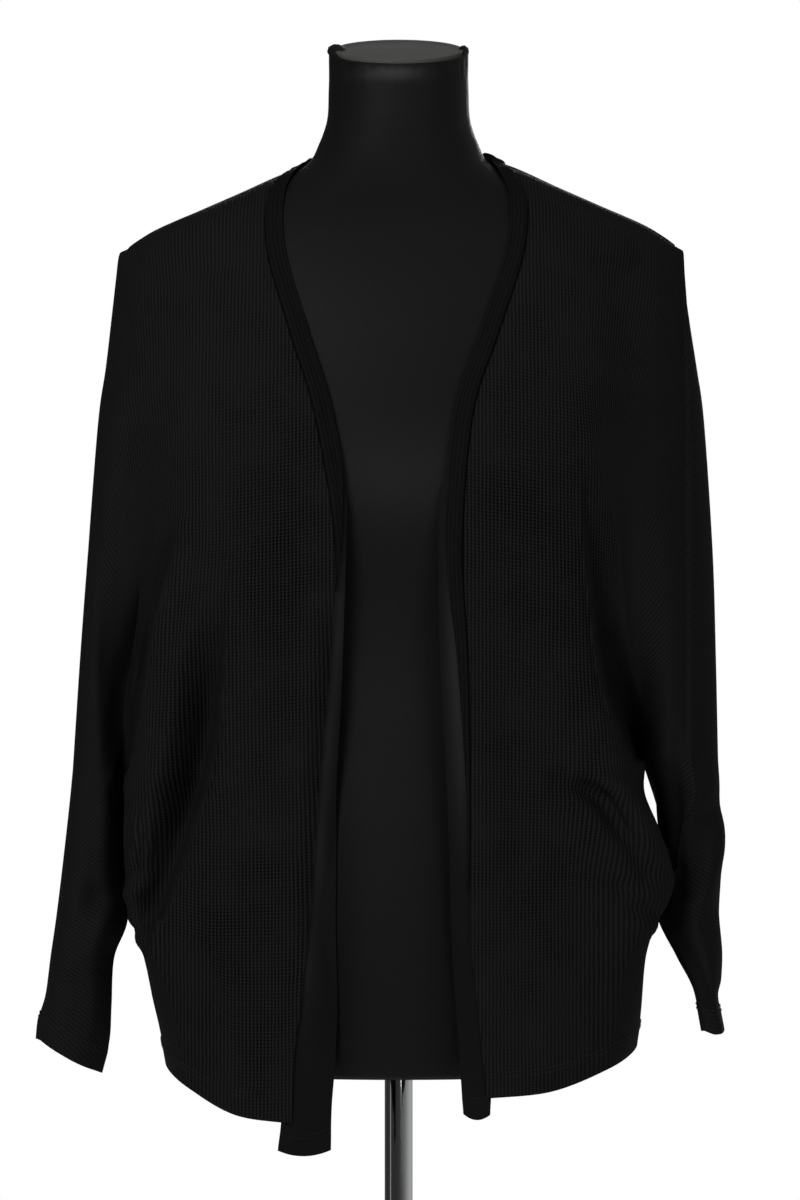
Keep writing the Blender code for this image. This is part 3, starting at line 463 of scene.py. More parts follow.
# Patches of paler colour on the smooth strips and on the form's cover. The shares add up: the rows
# over a whole panel give the cover its even tone, and the others are painted light, each as marked.
STRIP_PAINTED_HIGHLIGHT = table(
    OPENWORK_COLUMNS,
    # painted highlights along each strip's lit outer edge
    ("front", -46, 345, 7, 50, 0.8),
    ("front", -54, 420, 7, 50, 0.7),
    ("front", -61, 500, 7, 50, 0.65),
    ("front", -68, 580, 7, 50, 0.4),
    ("front", 42, 340, 7, 90, 0.8),
    ("front", 48, 440, 7, 60, 0.5),
)
COVER_TONE_AND_PAINTED_LIGHT = table(
    OPENWORK_COLUMNS,
    ("front", 0, 300, WHOLE_PANEL, WHOLE_PANEL, 0.11),
    ("back", 0, 300, WHOLE_PANEL, WHOLE_PANEL, 0.11),
    # a little paler towards the top
    ("front", 0, 60, WHOLE_PANEL, 260, 0.02),
    # painted shade on the cover beside each strip's free edge
    ("front", -42, 570, 14, 160, -0.1),
    ("front", 35, 570, 14, 160, -0.08),
    # painted highlight on the bust
    ("front", 0, 250, 90, 34, 0.17),
    # a fainter painted highlight lower down the front
    ("front", 0, 390, 60, 60, 0.07),
    # painted highlight: a pale band just under the neck plate
    ("front", -4, -50, 20, 4.5, 0.8),
)

# name, place, target, size in metres, watts
LAMPS = (
    ("key_softbox", (-1.25, -2.5, 2.25), (0, 0, 1.25), (1.2, 1.2), 62),
    ("fill_softbox", (1.6, -2.8, 1.7), (0, 0, 1.1), (1.4, 1.4), 20),
    ("top_softbox", (0.0, -0.5, 3.0), (0, 0, 1.2), (1.4, 1.0), 4),
    ("back_softbox", (0.3, 3.2, 1.9), (0, 0, 1.05), (1.4, 1.4), 70),
    # dim: only the polished pole shows it, as one bright streak
    ("pole_strip_light", (-2.35, -0.85, 0.7), (0, 0, 0.7), (0.4, 1.4), 0.5),
)

# The studio, in metres, its camera in millimetres. MIRROR: what polished metal shows of it.
MIRROR_BEHIND = 0.5
MIRROR_EDGE = 1.1
MIRROR_CURVE = 3.0
MIRROR_DARK = 0.035
MIRROR_LIGHT = 0.5
FLOOR_REACH = 3.2
FLOOR_FADE = 1.4
WORLD_FILL = 0.22
CAMERA_LENS = 120.0
CAMERA_SENSOR = 36.0
CAMERA_PLACE = (0.001, -3.0, 1.062)

# Steps between neighbouring control points of a section, and between neighbouring rows.
FRONT_STEPS = np.array((16, 32, 30, 22, 20))
BACK_STEPS = np.array((2, 2, 3, 3, 2, 3, 3)) * FINE_BACK
UPPER_STEPS = np.array((3, 3, 3, 3, 2, 2, 3, 3)) * FINE_ROWS
BODY_STEPS = np.array((1, 1, 2, 1, 1, 1, 2)) * FINE_BODY_ROWS
SLEEVE_STEPS = {
    "left": np.array((1, 2, 2, 1, 1, 1, 1, 1)) * FINE_SLEEVE_ROWS,
    "right": np.array((1, 2, 2, 1, 1, 1, 1)) * FINE_SLEEVE_ROWS,
}

# The numbers of a section's columns.
RIDGE = sum(FRONT_STEPS[:2])
VALLEY = sum(FRONT_STEPS[:3])
SEAM = sum(FRONT_STEPS)
BACK_VALLEY = SEAM + sum(BACK_STEPS[:3])
BACK_RIDGE = SEAM + sum(BACK_STEPS[:4])
NAPE = SEAM + sum(BACK_STEPS[:5])
CENTRE = SEAM + sum(BACK_STEPS)
# The overarm seam in the sleeve's own columns.
ARM_SEAM = SEAM - VALLEY

# A side has three sheets: above the crotch, body and sleeve.
BODY_SHEET, SLEEVE_SHEET = 1, 2

# The columns of each panel in those sheets.
PANELS = {
    "front": (slice(0, SEAM + 1), slice(0, VALLEY + 1), slice(0, ARM_SEAM + 1)),
    "back": (slice(SEAM, None), slice(VALLEY, None), slice(ARM_SEAM, None)),
}
# The same columns counted from where the ribs are counted: the flat's end, ridge, valley, seam.
MARKS = {
    "front": (FRONT_STEPS[0], RIDGE, VALLEY, SEAM),
    "back": (BACK_STEPS[-1], CENTRE - BACK_RIDGE, CENTRE - BACK_VALLEY, CENTRE - SEAM),
}
# The parts of a panel's crotch row from which its body and its sleeve hang.
HANGS_FROM = {
    "front": (slice(0, VALLEY + 1), slice(VALLEY, None)),
    "back": (slice(BACK_VALLEY - SEAM, None), slice(0, BACK_VALLEY - SEAM + 1)),
}
# The columns along which the hems of the body and the sleeve are stitched.
STITCHED = {
    "front": (slice(1, VALLEY), slice(1, ARM_SEAM)),
    "back": (slice(VALLEY + 1, None), slice(ARM_SEAM + 1, -1)),
}

# Troughs (depth > 0) and ridges (depth < 0) along a path of three places, x and drop, on the
# front or the back of a side. start and end: the depth there, as a share of the depth in the
# middle. Of a pair of half widths the first is on the side towards the garment's middle, so one
# wall is steep and the other runs out softly.
CREASE_COLUMNS = "panel x1 drop1 x2 drop2 x3 drop3 depth half_width start end"

# Deep drapes, pushed straight in.
DRAPES = {
    "left": table(
        CREASE_COLUMNS,
        # the hollow between body and sleeve, under the body's sharp edge
        ("front", 135, 262, 149, 383, 167, 443, 33, (3.8, 13), 0.15, 0.6),
        ("back", 168, 340, 170, 385, 172, 425, 12, 14, 0.2, 0.3),
    ),
    "right": table(
        CREASE_COLUMNS,
        # the deep drape beside the panel, and the narrower one beside the sleeve
        ("front", 125, 320, 140, 452, 175, 566, 34, (4, 19), 0.1, 0.9),
        ("front", 164, 300, 183, 382, 204, 470, 30, (3.2, 8), 0.5, 0.5),
        # the ridge between that drape and the sleeve
        ("front", 188, 300, 197, 385, 205, 450, -13, 7, 0.2, 0.4),
        # the front of the sleeve beside the body
        ("front", 219, 300, 222, 420, 224, 560, -13, (10, 12), 0.3, 0.8),
        ("front", 226, 560, 234, 620, 242, 690, -10, (10, 12), 0.8, 0.3),
        ("back", 200, 330, 203, 375, 205, 415, 9, 14, 0.2, 0.3),
    ),
}

# Smaller creases, pushed in or out at right angles to the cloth.
CREASES = {
    "left": table(
        CREASE_COLUMNS,
        # broad soft drapes of the front
        ("front", 70, 250, 78, 430, 92, 660, 1.6, 12, 0.1, 0.6),
        ("front", 112, 240, 118, 340, 122, 430, -1.6, 14, 0.1, 0.2),
        # the crease that runs from the middle of the panel down to the hip
        ("front", 116, 469, 152, 484, 182, 538, 6.5, 7, 0.5, 0.6),
        ("front", 136, 464, 166, 484, 190, 526, -3.5, 8, 0.1, 0.4),
        # small pleats where the bulge turns under
        ("front", 146, 540, 162, 546, 176, 548, 2.4, 5, 0.1, 0.5),
        ("front", 160, 552, 174, 562, 187, 568, 3, 5, 0.1, 0.8),
        ("front", 166, 566, 177, 576, 187, 580, -2, 4, 0.1, 0.6),
        # crumpled inner side of the sleeve
        ("front", 204, 440, 207, 500, 210, 556, 3.5, 4, 0.3, 0.5),
        ("front", 200, 528, 206, 536, 214, 540, 2.2, 3.5, 0.4, 0.3),
        ("front", 214, 440, 217, 490, 214, 548, -1.6, 5, 0.1, 0.2),
        ("back", 112, 270, 128, 430, 152, 600, 5.5, 12, 0.1, 0.4),
        ("back", 138, 490, 160, 522, 184, 556, 5, 8, 0.1, 0.8),
        ("back", 36, 150, 46, 330, 66, 650, -4, 16, 0.1, 0.7),
    ),
    "right": table(
        CREASE_COLUMNS,
        ("front", 74, 260, 84, 430, 100, 680, 1.8, 12, 0.1, 0.6),
        ("front", 155, 285, 173, 352, 188, 428, -5, 7, 0.5, 0.3),
        ("front", 189, 300, 196, 353, 202, 432, -3.5, 6, 0.3, 0.4),
        # pleats stacked at the lower end of the deep drape
        ("front", 199, 476, 190, 505, 195, 532, -3.4, 3.5, 0.3, 0.5),
        ("front", 196, 480, 187, 506, 191, 534, 3, 3, 0.3, 0.5),
        ("front", 192, 484, 183, 508, 187, 536, -2.6, 3.2, 0.2, 0.5),
        ("front", 180, 526, 188, 534, 196, 538, 3, 4.5, 0.2, 0.2),
        ("front", 186, 544, 194, 552, 199, 556, -3.4, 6, 0.2, 0.8),
        ("front", 178, 566, 188, 575, 196, 582, 3.4, 5, 0.2, 0.9),
        ("back", 104, 250, 118, 420, 150, 610, 6, 13, 0.1, 0.4),
        ("back", 150, 470, 174, 506, 196, 536, 5, 8, 0.1, 0.8),
        ("back", 30, 170, 42, 350, 60, 650, -3.5, 15, 0.1, 0.6),
    ),
}


# ---------------------------------------------------------------- curves


def hermite(first, second, first_slope, second_slope, t):
    return (
        (2 * t**3 - 3 * t**2 + 1) * first
        + (t**3 - 2 * t**2 + t) * first_slope
        + (3 * t**2 - 2 * t**3) * second
        + (t**3 - t**2) * second_slope
    )


def drawn(points, leaving, arriving, steps):
    """A curve with steps[i] pieces between points i and i + 1, and these slopes at their ends."""
    curve = [points[0]]
    for i, count in enumerate(steps):
        for step in range(1, count + 1):
            curve.append(hermite(points[i], points[i + 1], leaving[i], arriving[i], step / count))
    return np.array(curve)


def through(points, steps):
    """Smooth curves along the first axis, through evenly spaced points."""
    points = np.asarray(points, float)
    slopes = np.gradient(points, axis=0)
    return drawn(points, slopes[:-1], slopes[1:], steps)


def section_curves(rows, steps):
    """Every row's control points as a smooth curve, its slopes allowing for uneven distances."""
    points = np.swapaxes(np.asarray(rows, float), 0, 1)
    gaps = np.maximum(np.linalg.norm(np.diff(points, axis=0), axis=-1, keepdims=True), 1e-6)
    speeds = np.empty_like(points)
    speeds[0] = (points[1] - points[0]) / gaps[0]
    speeds[-1] = (points[-1] - points[-2]) / gaps[-1]
    before, after = gaps[:-1], gaps[1:]
    speeds[1:-1] = (
        (points[1:-1] - points[:-2]) / before * after + (points[2:] - points[1:-1]) / after * before
    ) / (before + after)
    return np.swapaxes(drawn(points, speeds[:-1] * gaps, speeds[1:] * gaps, steps), 0, 1)


def mixed(first, second, share):
    return first + (second - first) * share


def eased(t):
    t = np.clip(t, 0.0, 1.0)
    return t * t * (3 - 2 * t)


def bell(t):
    return np.exp(-(t**2))


def unit(vectors):
    return vectors / np.maximum(np.linalg.norm(vectors, axis=-1, keepdims=True), 1e-9)


def lengths(sheet):
    """Distances along each row from its first column, and down each column from its first row."""
    across = np.zeros(sheet.shape[:2])
    down = np.zeros(sheet.shape[:2])
    across[:, 1:] = np.cumsum(np.linalg.norm(np.diff(sheet, axis=1), axis=-1), axis=1)
    down[1:] = np.cumsum(np.linalg.norm(np.diff(sheet, axis=0), axis=-1), axis=0)
    return across, down


def run_along(places):
    """Distances along a line from its first point."""
    return np.concatenate([[0], np.cumsum(np.linalg.norm(np.diff(places, axis=0), axis=-1))])


def read_at(distance, run, values):
    """The row of values at this distance, from one row for each distance of the run."""
    return np.array([np.interp(distance, run, column) for column in values.T])


# ---------------------------------------------------------------- the dress form as a formula


FORM_DROPS = np.array([row.drop for row in FORM], float)
FORM_SIZES = np.array([row[1:] for row in FORM], float)
FORM_SLOPES = np.gradient(FORM_SIZES, FORM_DROPS, axis=0)


def form_sizes(drop):
    """Half width, front depth and back depth of the form at these drops."""
    drop = np.clip(drop, FORM_DROPS[0], FORM_DROPS[-1])
    i = np.clip(np.searchsorted(FORM_DROPS, drop, side="right") - 1, 0, len(FORM_DROPS) - 2)
    span = (FORM_DROPS[i + 1] - FORM_DROPS[i])[..., None]
    t = (drop - FORM_DROPS[i])[..., None] / span
    first, second = FORM_SLOPES[i] * span, FORM_SLOPES[i + 1] * span
    return hermite(FORM_SIZES[i], FORM_SIZES[i + 1], first, second, t)


def form_field(points):
    """1 on the form's surface, less inside it and more outside it."""
    sizes = form_sizes(points[..., 2])
    depth = np.where(points[..., 1] < 0, sizes[..., 1], sizes[..., 2])
    ratio = np.abs(points[..., 0] / sizes[..., 0]) ** FORM_ROUNDNESS
    ratio = ratio + np.abs(points[..., 1] / depth) ** FORM_ROUNDNESS
    return ratio ** (1 / FORM_ROUNDNESS)


def off_form(points, clearance=CLOTH / 2 + REST_GAP):
    """The points, each moved out along the form's surface direction to this clearance."""
    points = np.array(points, float)
    below = points[..., 2] > FORM_DROPS[-1]
    for _ in range(OFF_FORM_ROUNDS):
        field = form_field(points)
        steps = np.eye(3) * FIELD_STEP
        slope = np.stack([form_field(points + s) - form_field(points - s) for s in steps], axis=-1)
        size = np.maximum(np.linalg.norm(slope, axis=-1), 1e-9)
        short = clearance - (field - 1) / size
        move = np.where((short > 0) & ~below, short, 0.0)
        if not move.any():
            break
        points += slope / size[..., None] * move[..., None]
    return points


# ---------------------------------------------------------------- folds, drapes and creases


def added_up(rows, places, amount):
    """What a table's rows add up to at these places. Each acts on its own panel only."""
    x, y, drop = np.moveaxis(places, -1, 0)
    total = np.zeros_like(x)
    for row in rows:
        total += np.where((y < 0) == (row.panel == "front"), amount(row, x, drop), 0)
    return total


def fold(row, x, drop):
    """How deep one of the large drape folds is."""
    drops = (row.drop_top, row.drop_middle, row.drop_end)
    middle = np.interp(drop, drops, (row.x_top, row.x_middle, row.x_end))
    length = row.drop_end - row.drop_top
    rise = eased((drop - row.drop_top) / (FOLD_START * length))
    fall = eased((row.drop_end - drop) / (FOLD_FADE * length))
    return row.depth * rise * fall * bell((x - middle) / row.half_width)


def nearest_on_path(row, x, drop):
    """For places beside a crease's path: how far off it, on which side of it (1: outwards) and
    how far along it, from 0 to 1."""
    ends = ((row.x1, row.drop1), (row.x2, row.drop2), (row.x3, row.drop3))
    path = through(ends, (CREASE_STEPS, CREASE_STEPS))
    nearest = np.full_like(x, 1e9)
    place, beyond = np.zeros_like(x), np.ones_like(x)
    for i, (first, second) in enumerate(zip(path, path[1:])):
        run = second - first
        off_x, off_drop = x - first[0], drop - first[1]
        t = np.clip((off_x * run[0] + off_drop * run[1]) / (run @ run), 0, 1)
        away = np.hypot(off_x - t * run[0], off_drop - t * run[1])
        closer = away < nearest
        place = np.where(closer, (i + t) / (2 * CREASE_STEPS), place)
        beyond = np.where(closer, np.sign(off_x * run[1] - off_drop * run[0]), beyond)
        nearest = np.minimum(nearest, away)
    return nearest, beyond, place


def crease(row, x, drop, lips=CREASE_LIPS):
    """How deep a crease is. lips: how the cloth stands up a little on both sides of it, as a
    share of its depth, and where and how widely, in half widths."""
    nearest, beyond, place = nearest_on_path(row, x, drop)
    first_half = mixed(row.start, 1, eased(2 * place))
    second_half = mixed(1, row.end, eased(2 * place - 1))
    swell = np.where(place < 0.5, first_half, second_half)
    inner, outer = np.broadcast_to(row.half_width, 2)
    away = nearest / np.where(beyond > 0, outer, inner)
    share, lip_place, lip_width = lips
    return row.depth * swell * (bell(away) - share * bell((away - lip_place) / lip_width))


def drape(row, x, drop):
    """How deep one of the deep drapes is."""
    return crease(row, x, drop, DRAPE_LIPS)


def pushed_in(points, depth):
    """The points moved straight in by these depths, front and back never meeting at the crotch,
    and kept off the form."""
    x, y, drop = np.moveaxis(points, -1, 0)
    depth = np.minimum(depth, np.maximum(np.abs(y) - CROTCH_HALF, 0))
    return off_form(np.stack([x, y - np.copysign(depth, y), drop], axis=-1))


def folded(side, points):
    """The points with the side's large drape folds."""
    return pushed_in(points, added_up(FOLDS[side], points, fold))


def deeply_draped(side, sheet):
    """The sheet with its deep drapes, which fade out towards the side seam."""
    depth = added_up(DRAPES[side], sheet, drape) * eased(np.abs(sheet[..., 1]) / DRAPE_CALM)
    return pushed_in(sheet, depth)


# ---------------------------------------------------------------- the cloth's middle surface


def upper_section(front, back):
    """Control points of a section above the crotch, from the band seam round to the centre back."""
    reach = max(front.x_seam, front.x_out) - front.x_edge

    def drop(x):
        t = min(max((x - front.x_edge) / reach, 0), 1)
        slope = SHOULDER_SLOPE * t + (1 - SHOULDER_SLOPE) * t**SHOULDER_CORNER
        return front.drop_edge + (front.drop_out - front.drop_edge) * slope

    nape_drop = (front.drop_edge + back.drop_centre) / 2 if back.y_nape else front.drop_edge
    round_y = back.y_centre - NAPE_ROUND * (back.y_centre - back.y_nape)
    flat_y = front.y_edge + FLATNESS * (front.y_ridge - front.y_edge)
    shoulder = (
        ((front.x_edge + front.x_ridge) / 2, flat_y),
        (front.x_ridge, front.y_ridge),
        (front.x_valley, front.y_valley),
        (front.x_fold, front.y_fold),
        (front.x_seam, front.y_seam),
        (front.x_out, OUTER_DEPTH * back.y_fold),
        ((front.x_fold + front.x_out) / 2, back.y_fold),
        (front.x_valley, back.y_valley),
        (front.x_ridge, back.y_ridge),
    )
    return [
        (front.x_edge, front.y_edge, front.drop_edge),
        *((x, y, drop(x)) for x, y in shoulder),
        (front.x_edge, back.y_nape, nape_drop),
        (NAPE_PLACE * front.x_edge, round_y, mixed(nape_drop, back.drop_centre, NAPE_FALL)),
        (0.0, back.y_centre, back.drop_centre),
    ]


def body_section(row):
    """Control points of the body below the crotch, from the front edge round to the centre back."""
    rise = row.drop_side - row.drop_edge
    flat_x = (row.x_edge + row.x_ridge) / 2
    flat_y = row.y_edge + FLATNESS * (row.y_ridge - row.y_edge)
    blade_x = row.x_edge + BLADE_FROM_EDGE
    return [
        (row.x_edge, row.y_edge, row.drop_edge),
        (flat_x, flat_y, row.drop_edge + HEM_RISE_FLAT * rise),
        (row.x_ridge, row.y_ridge, row.drop_edge + HEM_RISE_RIDGE * rise),
        (row.x_side, row.y_side, row.drop_side),
        (row.x_ridge - BACK_CORNER_IN, row.y_back, mixed(row.drop_back, row.drop_side, 0.5)),
        (blade_x, mixed(row.y_back, row.y_centre, BLADE_DEPTH), row.drop_back),
        (blade_x / 2, row.y_centre - BLADE_FLAT, row.drop_back),
        (0.0, row.y_centre, row.drop_back),
    ]


def sleeve_section(side, row):
    """Control points round the sleeve below the crotch, from the underarm seam back to itself."""
    middle_x, half_x = (row.x_in + row.x_out) / 2, (row.x_out - row.x_in) / 2
    middle_y, half_y = (row.y_front + row.y_back) / 2, (row.y_back - row.y_front) / 2
    places = []
    for turn in (180, *SLEEVE_ANGLES[side], -180):
        angle = math.radians(turn + row.twist)
        across = math.cos(angle)
        drop = row.drop_in + (row.drop_out - row.drop_in) * (across + 1) / 2
        places.append((middle_x + half_x * across, middle_y - half_y * math.sin(angle), drop))
    return places


def hang(top, lower, arm):
    """Gives the body and the sleeve the row that they share with the sheet above the crotch."""
    lower[0, : VALLEY + 1] = top[-1, : VALLEY + 1]
    lower[0, VALLEY + 1 :] = top[-1, BACK_VALLEY + 1 :]
    arm[0, 1:-1] = top[-1, VALLEY + 1 : BACK_VALLEY]


def side_sheets(side):
    """Rows and columns of the cloth's middle surface: above the crotch, body and sleeve below."""
    upper = [upper_section(front, back) for front, back in zip(UPPER[side], BACK)]
    crotch = upper[-1]
    underarm = (crotch[3][0], 0.0, crotch[3][2])
    body = [crotch[:3] + [underarm] + crotch[9:]] + [body_section(row) for row in BODY[side]]
    sleeve = [[underarm] + crotch[4:8] + [underarm]]
    sleeve += [sleeve_section(side, row) for row in SLEEVE[side]]
    front, back = list(FRONT_STEPS), list(BACK_STEPS)
    curves = section_curves(through(upper, UPPER_STEPS), front + back)
    curves[0, : NAPE + 1, 1] = 0.0
    top = folded(side, curves)
    top[0, : NAPE + 1, 1] = 0.0
    lower = folded(side, section_curves(through(body, BODY_STEPS), front[:3] + back[3:]))
    arm = section_curves(through(sleeve, SLEEVE_STEPS[side]), front[3:] + back[:3])
    hang(top, lower, arm)
    return top, lower, arm


def reframed(points, x):
    """Table places (x, y, drop) as points of the part's frame (x, y, z) or the other way round,
    with this x."""
    return np.stack([x, points[..., 1], NECK_POINT_HEIGHT - points[..., 2]], axis=-1)


def normals_of(rows, closed=False):
    """Directions at right angles to a sheet."""
    steps = unit(np.diff(rows, axis=1))
    along = np.empty_like(rows)
    along[:, 1:-1] = steps[:, 1:] + steps[:, :-1]
    along[:, 0] = steps[:, 0]
    along[:, -1] = steps[:, -1]
    if closed:
        along[:, 0] = along[:, -1] = steps[:, 0] + steps[:, -1]
    return unit(np.cross(along, np.gradient(rows, axis=0)))


# ---------------------------------------------------------------- the knit's ribs


def sleeve_knit(sheet, column, u, v):
    """The sleeve's ribs, turned further the lower they are. u and v: this column's first place."""
    across, down = lengths(sheet)
    turn = np.radians(np.interp(sheet[:, column, 2], RIB_DROPS, RIB_ANGLES))
    steps = np.diff(down[:, column], prepend=down[0, column])
    lead, fall = (np.cumsum(part * steps)[:, None] for part in (np.sin(turn), np.cos(turn)))
    turn, beyond = turn[:, None], across - across[:, column, None]
    return u + lead + np.cos(turn) * beyond, v + fall - np.sin(turn) * beyond


def ridge_growth(sheet, ridge, reach):
    """What the ribs beside the drape's ridge leave out, so that they follow it outwards. reach:
    how far out the ridge lies where that starts."""
    across = lengths(sheet)[0]
    growth = np.where(sheet[:, 0, 2] > RIDGE_FROM, across[:, ridge] - reach, 0)
    share = eased((np.arange(across.shape[1]) / ridge - GROWTH_FROM) / (1 - GROWTH_FROM))
    return RIDGE_FOLLOW * growth[:, None] * share


def upper_knit(sheet, marks, reach):
    """Above the crotch the ribs hang straight on the body and fan out into the sleeve's."""
    flat, ridge, valley, seam = marks
    across, down = lengths(sheet)
    u = sheet[:, :1, 0] + across - ridge_growth(sheet, ridge, reach)
    v = sheet[0, :, 2] + down
    u_sleeve, v_sleeve = sleeve_knit(sheet, valley, u[0, valley], v[0, valley])
    narrow = eased((sheet[:, valley, None, 2] - FAN_TOP) / FAN_HEIGHT)
    mix = FAN_MIX * (seam - valley)
    start = mixed(flat, valley - mix, narrow)
    end = mixed(seam, valley + mix, narrow)
    share = eased((np.arange(sheet.shape[1]) - start) / (end - start))
    return mixed(u, u_sleeve, share), mixed(v, v_sleeve, share)


def body_knit(sheet, v_above, ridge, reach):
    """Down to the body's widest row the ribs follow its ridge. From there they hang straight."""
    across, down = lengths(sheet)
    u = sheet[:, :1, 0] + across - ridge_growth(sheet, ridge, reach)
    x = np.abs(sheet[..., 0])
    widest = int(np.argmax(x[:, ridge]))
    for row in range(widest + 1, len(sheet)):
        u[row] = np.interp(x[row], x[widest, : ridge + 1], u[widest, : ridge + 1])
        u[row, ridge:] = u[row, ridge] + across[row, ridge:] - across[row, ridge]
    return u, v_above + down


def knit_layers(sheet, u, v, shown=1.0):
    """u and v in millimetres, and how clearly the ribs show: they fade where they crowd.
    shown: how clearly they show elsewhere."""
    wide = np.maximum(np.linalg.norm(np.diff(sheet, axis=1), axis=-1), 1e-6)
    tall = np.maximum(np.linalg.norm(np.diff(sheet, axis=0), axis=-1), 1e-6)
    slope_across = np.pad(np.abs(np.diff(u, axis=1)) / wide, ((0, 0), (0, 1)), mode="edge")
    slope_down = np.pad(np.abs(np.diff(u, axis=0)) / tall, ((0, 1), (0, 0)), mode="edge")
    crowding = np.hypot(slope_across, slope_down)
    return np.stack([u, v, shown * (1 - eased((crowding - CROWD_FROM) / CROWD_FADE))], axis=-1)


def panel_knit(panel, sheets):
    """The knit of a panel's sheets: across (u) and along (v) the ribs, and how clearly they show.
    Ribs are counted outwards, from the front's edge or from the middle of the back."""
    order = 1 if panel == "front" else -1
    grids = [sheet[:, columns][:, ::order] for sheet, columns in zip(sheets, PANELS[panel])]
    upper, body, sleeve = grids
    _, ridge, valley, seam = MARKS[panel]
    reach = np.interp(RIDGE_FROM, upper[:, 0, 2], lengths(upper)[0][:, ridge])
    u, v = upper_knit(upper, MARKS[panel], reach)
    shown = 1.0
    if panel == "front":
        shown = eased(2 * (np.arange(seam + 1) - valley) / (seam - valley))
        shown = mixed(1, SLEEVE_SHOWN, shown)
    layers = (
        knit_layers(upper, u, v, shown),
        knit_layers(body, *body_knit(body, v[-1, : body.shape[1]], ridge, reach)),
        knit_layers(sleeve, *sleeve_knit(sleeve, -1, u[-1, -1], v[-1, -1]), SLEEVE_SHOWN),
    )
    return [grid[:, ::order] for grid in layers]


def still_shown(plain, sheet):
    """How clearly the ribs show where the deep drapes have pulled a plain sheet longer."""
    ratio = np.ones(plain.shape[:2])
    for axis in (0, 1):
        steps = [np.linalg.norm(np.diff(grid, axis=axis), axis=-1) for grid in (plain, sheet)]
        longer = steps[1] / np.maximum(steps[0], SHORTEST_STEP)
        for ends in ((0, 1), (1, 0)):
            pads = [(0, 0), (0, 0)]
            pads[axis] = ends
            ratio = np.maximum(ratio, np.pad(longer, pads, mode="edge"))
    return 1 - eased((ratio - STRETCH_BEGINS) / STRETCH_FADES)


class Side:
    """One side's three sheets in the part's frame: above the crotch, body and sleeve. The last
    two start with the crotch row, which they share with the first. normals point outwards, and
    knit holds each panel's layers."""

    def __init__(self, side):
        self.name = side
        self.sign = 1.0 if side == "left" else -1.0
        plain = side_sheets(side)
        sheets = [deeply_draped(side, sheet) for sheet in plain]
        shown = [still_shown(*pair) for pair in zip(plain, sheets)]
        self.knit = {panel: panel_knit(panel, plain) for panel in PANELS}
        for panel, cuts in PANELS.items():
            for layers, columns, clear in zip(self.knit[panel], cuts, shown):
                layers[..., 2] *= clear[:, columns]
        normals = self.outward(self.placed(sheets))
        moved = []
        for i, (sheet, facing) in enumerate(zip(sheets, normals)):
            toward = facing * (self.sign, 1, -1)
            moved.append(off_form(sheet + toward * self.lift(i, sheet)[..., None]))
        top, lower, arm = moved
        top[0, : NAPE + 1] = plain[0][0, : NAPE + 1]
        top[:, -1, 0] = lower[:, -1, 0] = 0.0
        hang(top, lower, arm)
        arm[0, 0] = arm[0, -1] = top[-1, VALLEY]
        self.sheets = self.placed(moved)
        self.normals = self.outward(self.sheets)

    def placed(self, sheets):
        """The sheets in the part's frame."""
        return [reframed(sheet, self.sign * sheet[..., 0]) for sheet in sheets]

    def lift(self, number, sheet):
        """How far creases, the overarm seam and the dip beside the band move a sheet out."""
        across, drop = lengths(sheet)[0], sheet[:, :1, 2]
        depth = added_up(CREASES[self.name], sheet, crease)
        raised = -depth * eased(np.abs(sheet[..., 1]) / SEAM_CALM)
        if number != SLEEVE_SHEET:
            # The right front also rolls back below the end of its band.
            roll = EDGE_ROLL[self.name] * eased((drop - ROLL_FROM) / ROLL_FADE)
            roll = roll * (1 - eased((drop - ROLL_TO) / ROLL_FADE))
            roll = roll * np.clip(1 - across / EDGE_ROLL_WIDTH, 0, 1) ** 2
            raised -= EDGE_DIP * bell(across / EDGE_DIP_WIDTH) + roll
        if number != BODY_SHEET:
            seam = ARM_SEAM if number == SLEEVE_SHEET else SEAM
            raised += SEAM_RIDGE * bell((across - across[:, seam, None]) / SEAM_RIDGE_WIDTH)
        return raised

    def outward(self, sheets):
        """The sheets' outward directions, which agree where the sheets meet."""
        top, lower = (-self.sign * normals_of(sheet) for sheet in sheets[:2])
        arm = -self.sign * normals_of(sheets[2], closed=True)
        top[0, : NAPE + 1] = unit(top[1, : NAPE + 1] * (1, 0, 1))
        for normals in (top, lower):
            normals[:, -1, 0] = 0.0
            normals[:, -1] = unit(normals[:, -1])
        hang(top, lower, arm)
        return top, lower, arm


# ---------------------------------------------------------------- making meshes


def patch_share(row, x, drop):
    """How much one patch adds: to the knit's open mesh, and on the strips and the form's cover to
    their paler tone and painted light.
    """
    near = bell((x - row.x) / row.half_width) * bell((drop - row.drop) / row.half_height)
    return row.share * near


def add_mesh(name, points, faces, material, layers=None, sharp=50, stretched=OPENWORK):
    """A finished piece from points in millimetres. layers: u and v of its knit, in millimetres,
    and how clearly it shows. stretched: the patches that open the knit's mesh; on the strips and
    the form's cover, the patches of paler tone, painted highlight and painted shade."""
    points = np.asarray(points)
    mesh = bpy.data.meshes.new(name)
    mesh.from_pydata((points * MM).tolist(), [], [tuple(face) for face in faces])
    mesh.validate()
    if layers is not None:
        attribute = mesh.attributes.new("knit", "FLOAT_VECTOR", "POINT")
        attribute.data.foreach_set("vector", np.asarray(layers, np.float32).ravel())
        attribute = mesh.attributes.new("openwork", "FLOAT", "POINT")
        patch_level = added_up(stretched, reframed(points, points[..., 0]), patch_share)
        attribute.data.foreach_set("value", np.clip(patch_level, 0, 1).astype(np.float32))
    mesh.materials.append(material)
    mesh.shade_smooth()
    mesh.set_sharp_from_angle(angle=math.radians(sharp))
    piece = bpy.data.objects.new(name, mesh)
    bpy.context.collection.objects.link(piece)
    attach(piece, "root")
    return piece


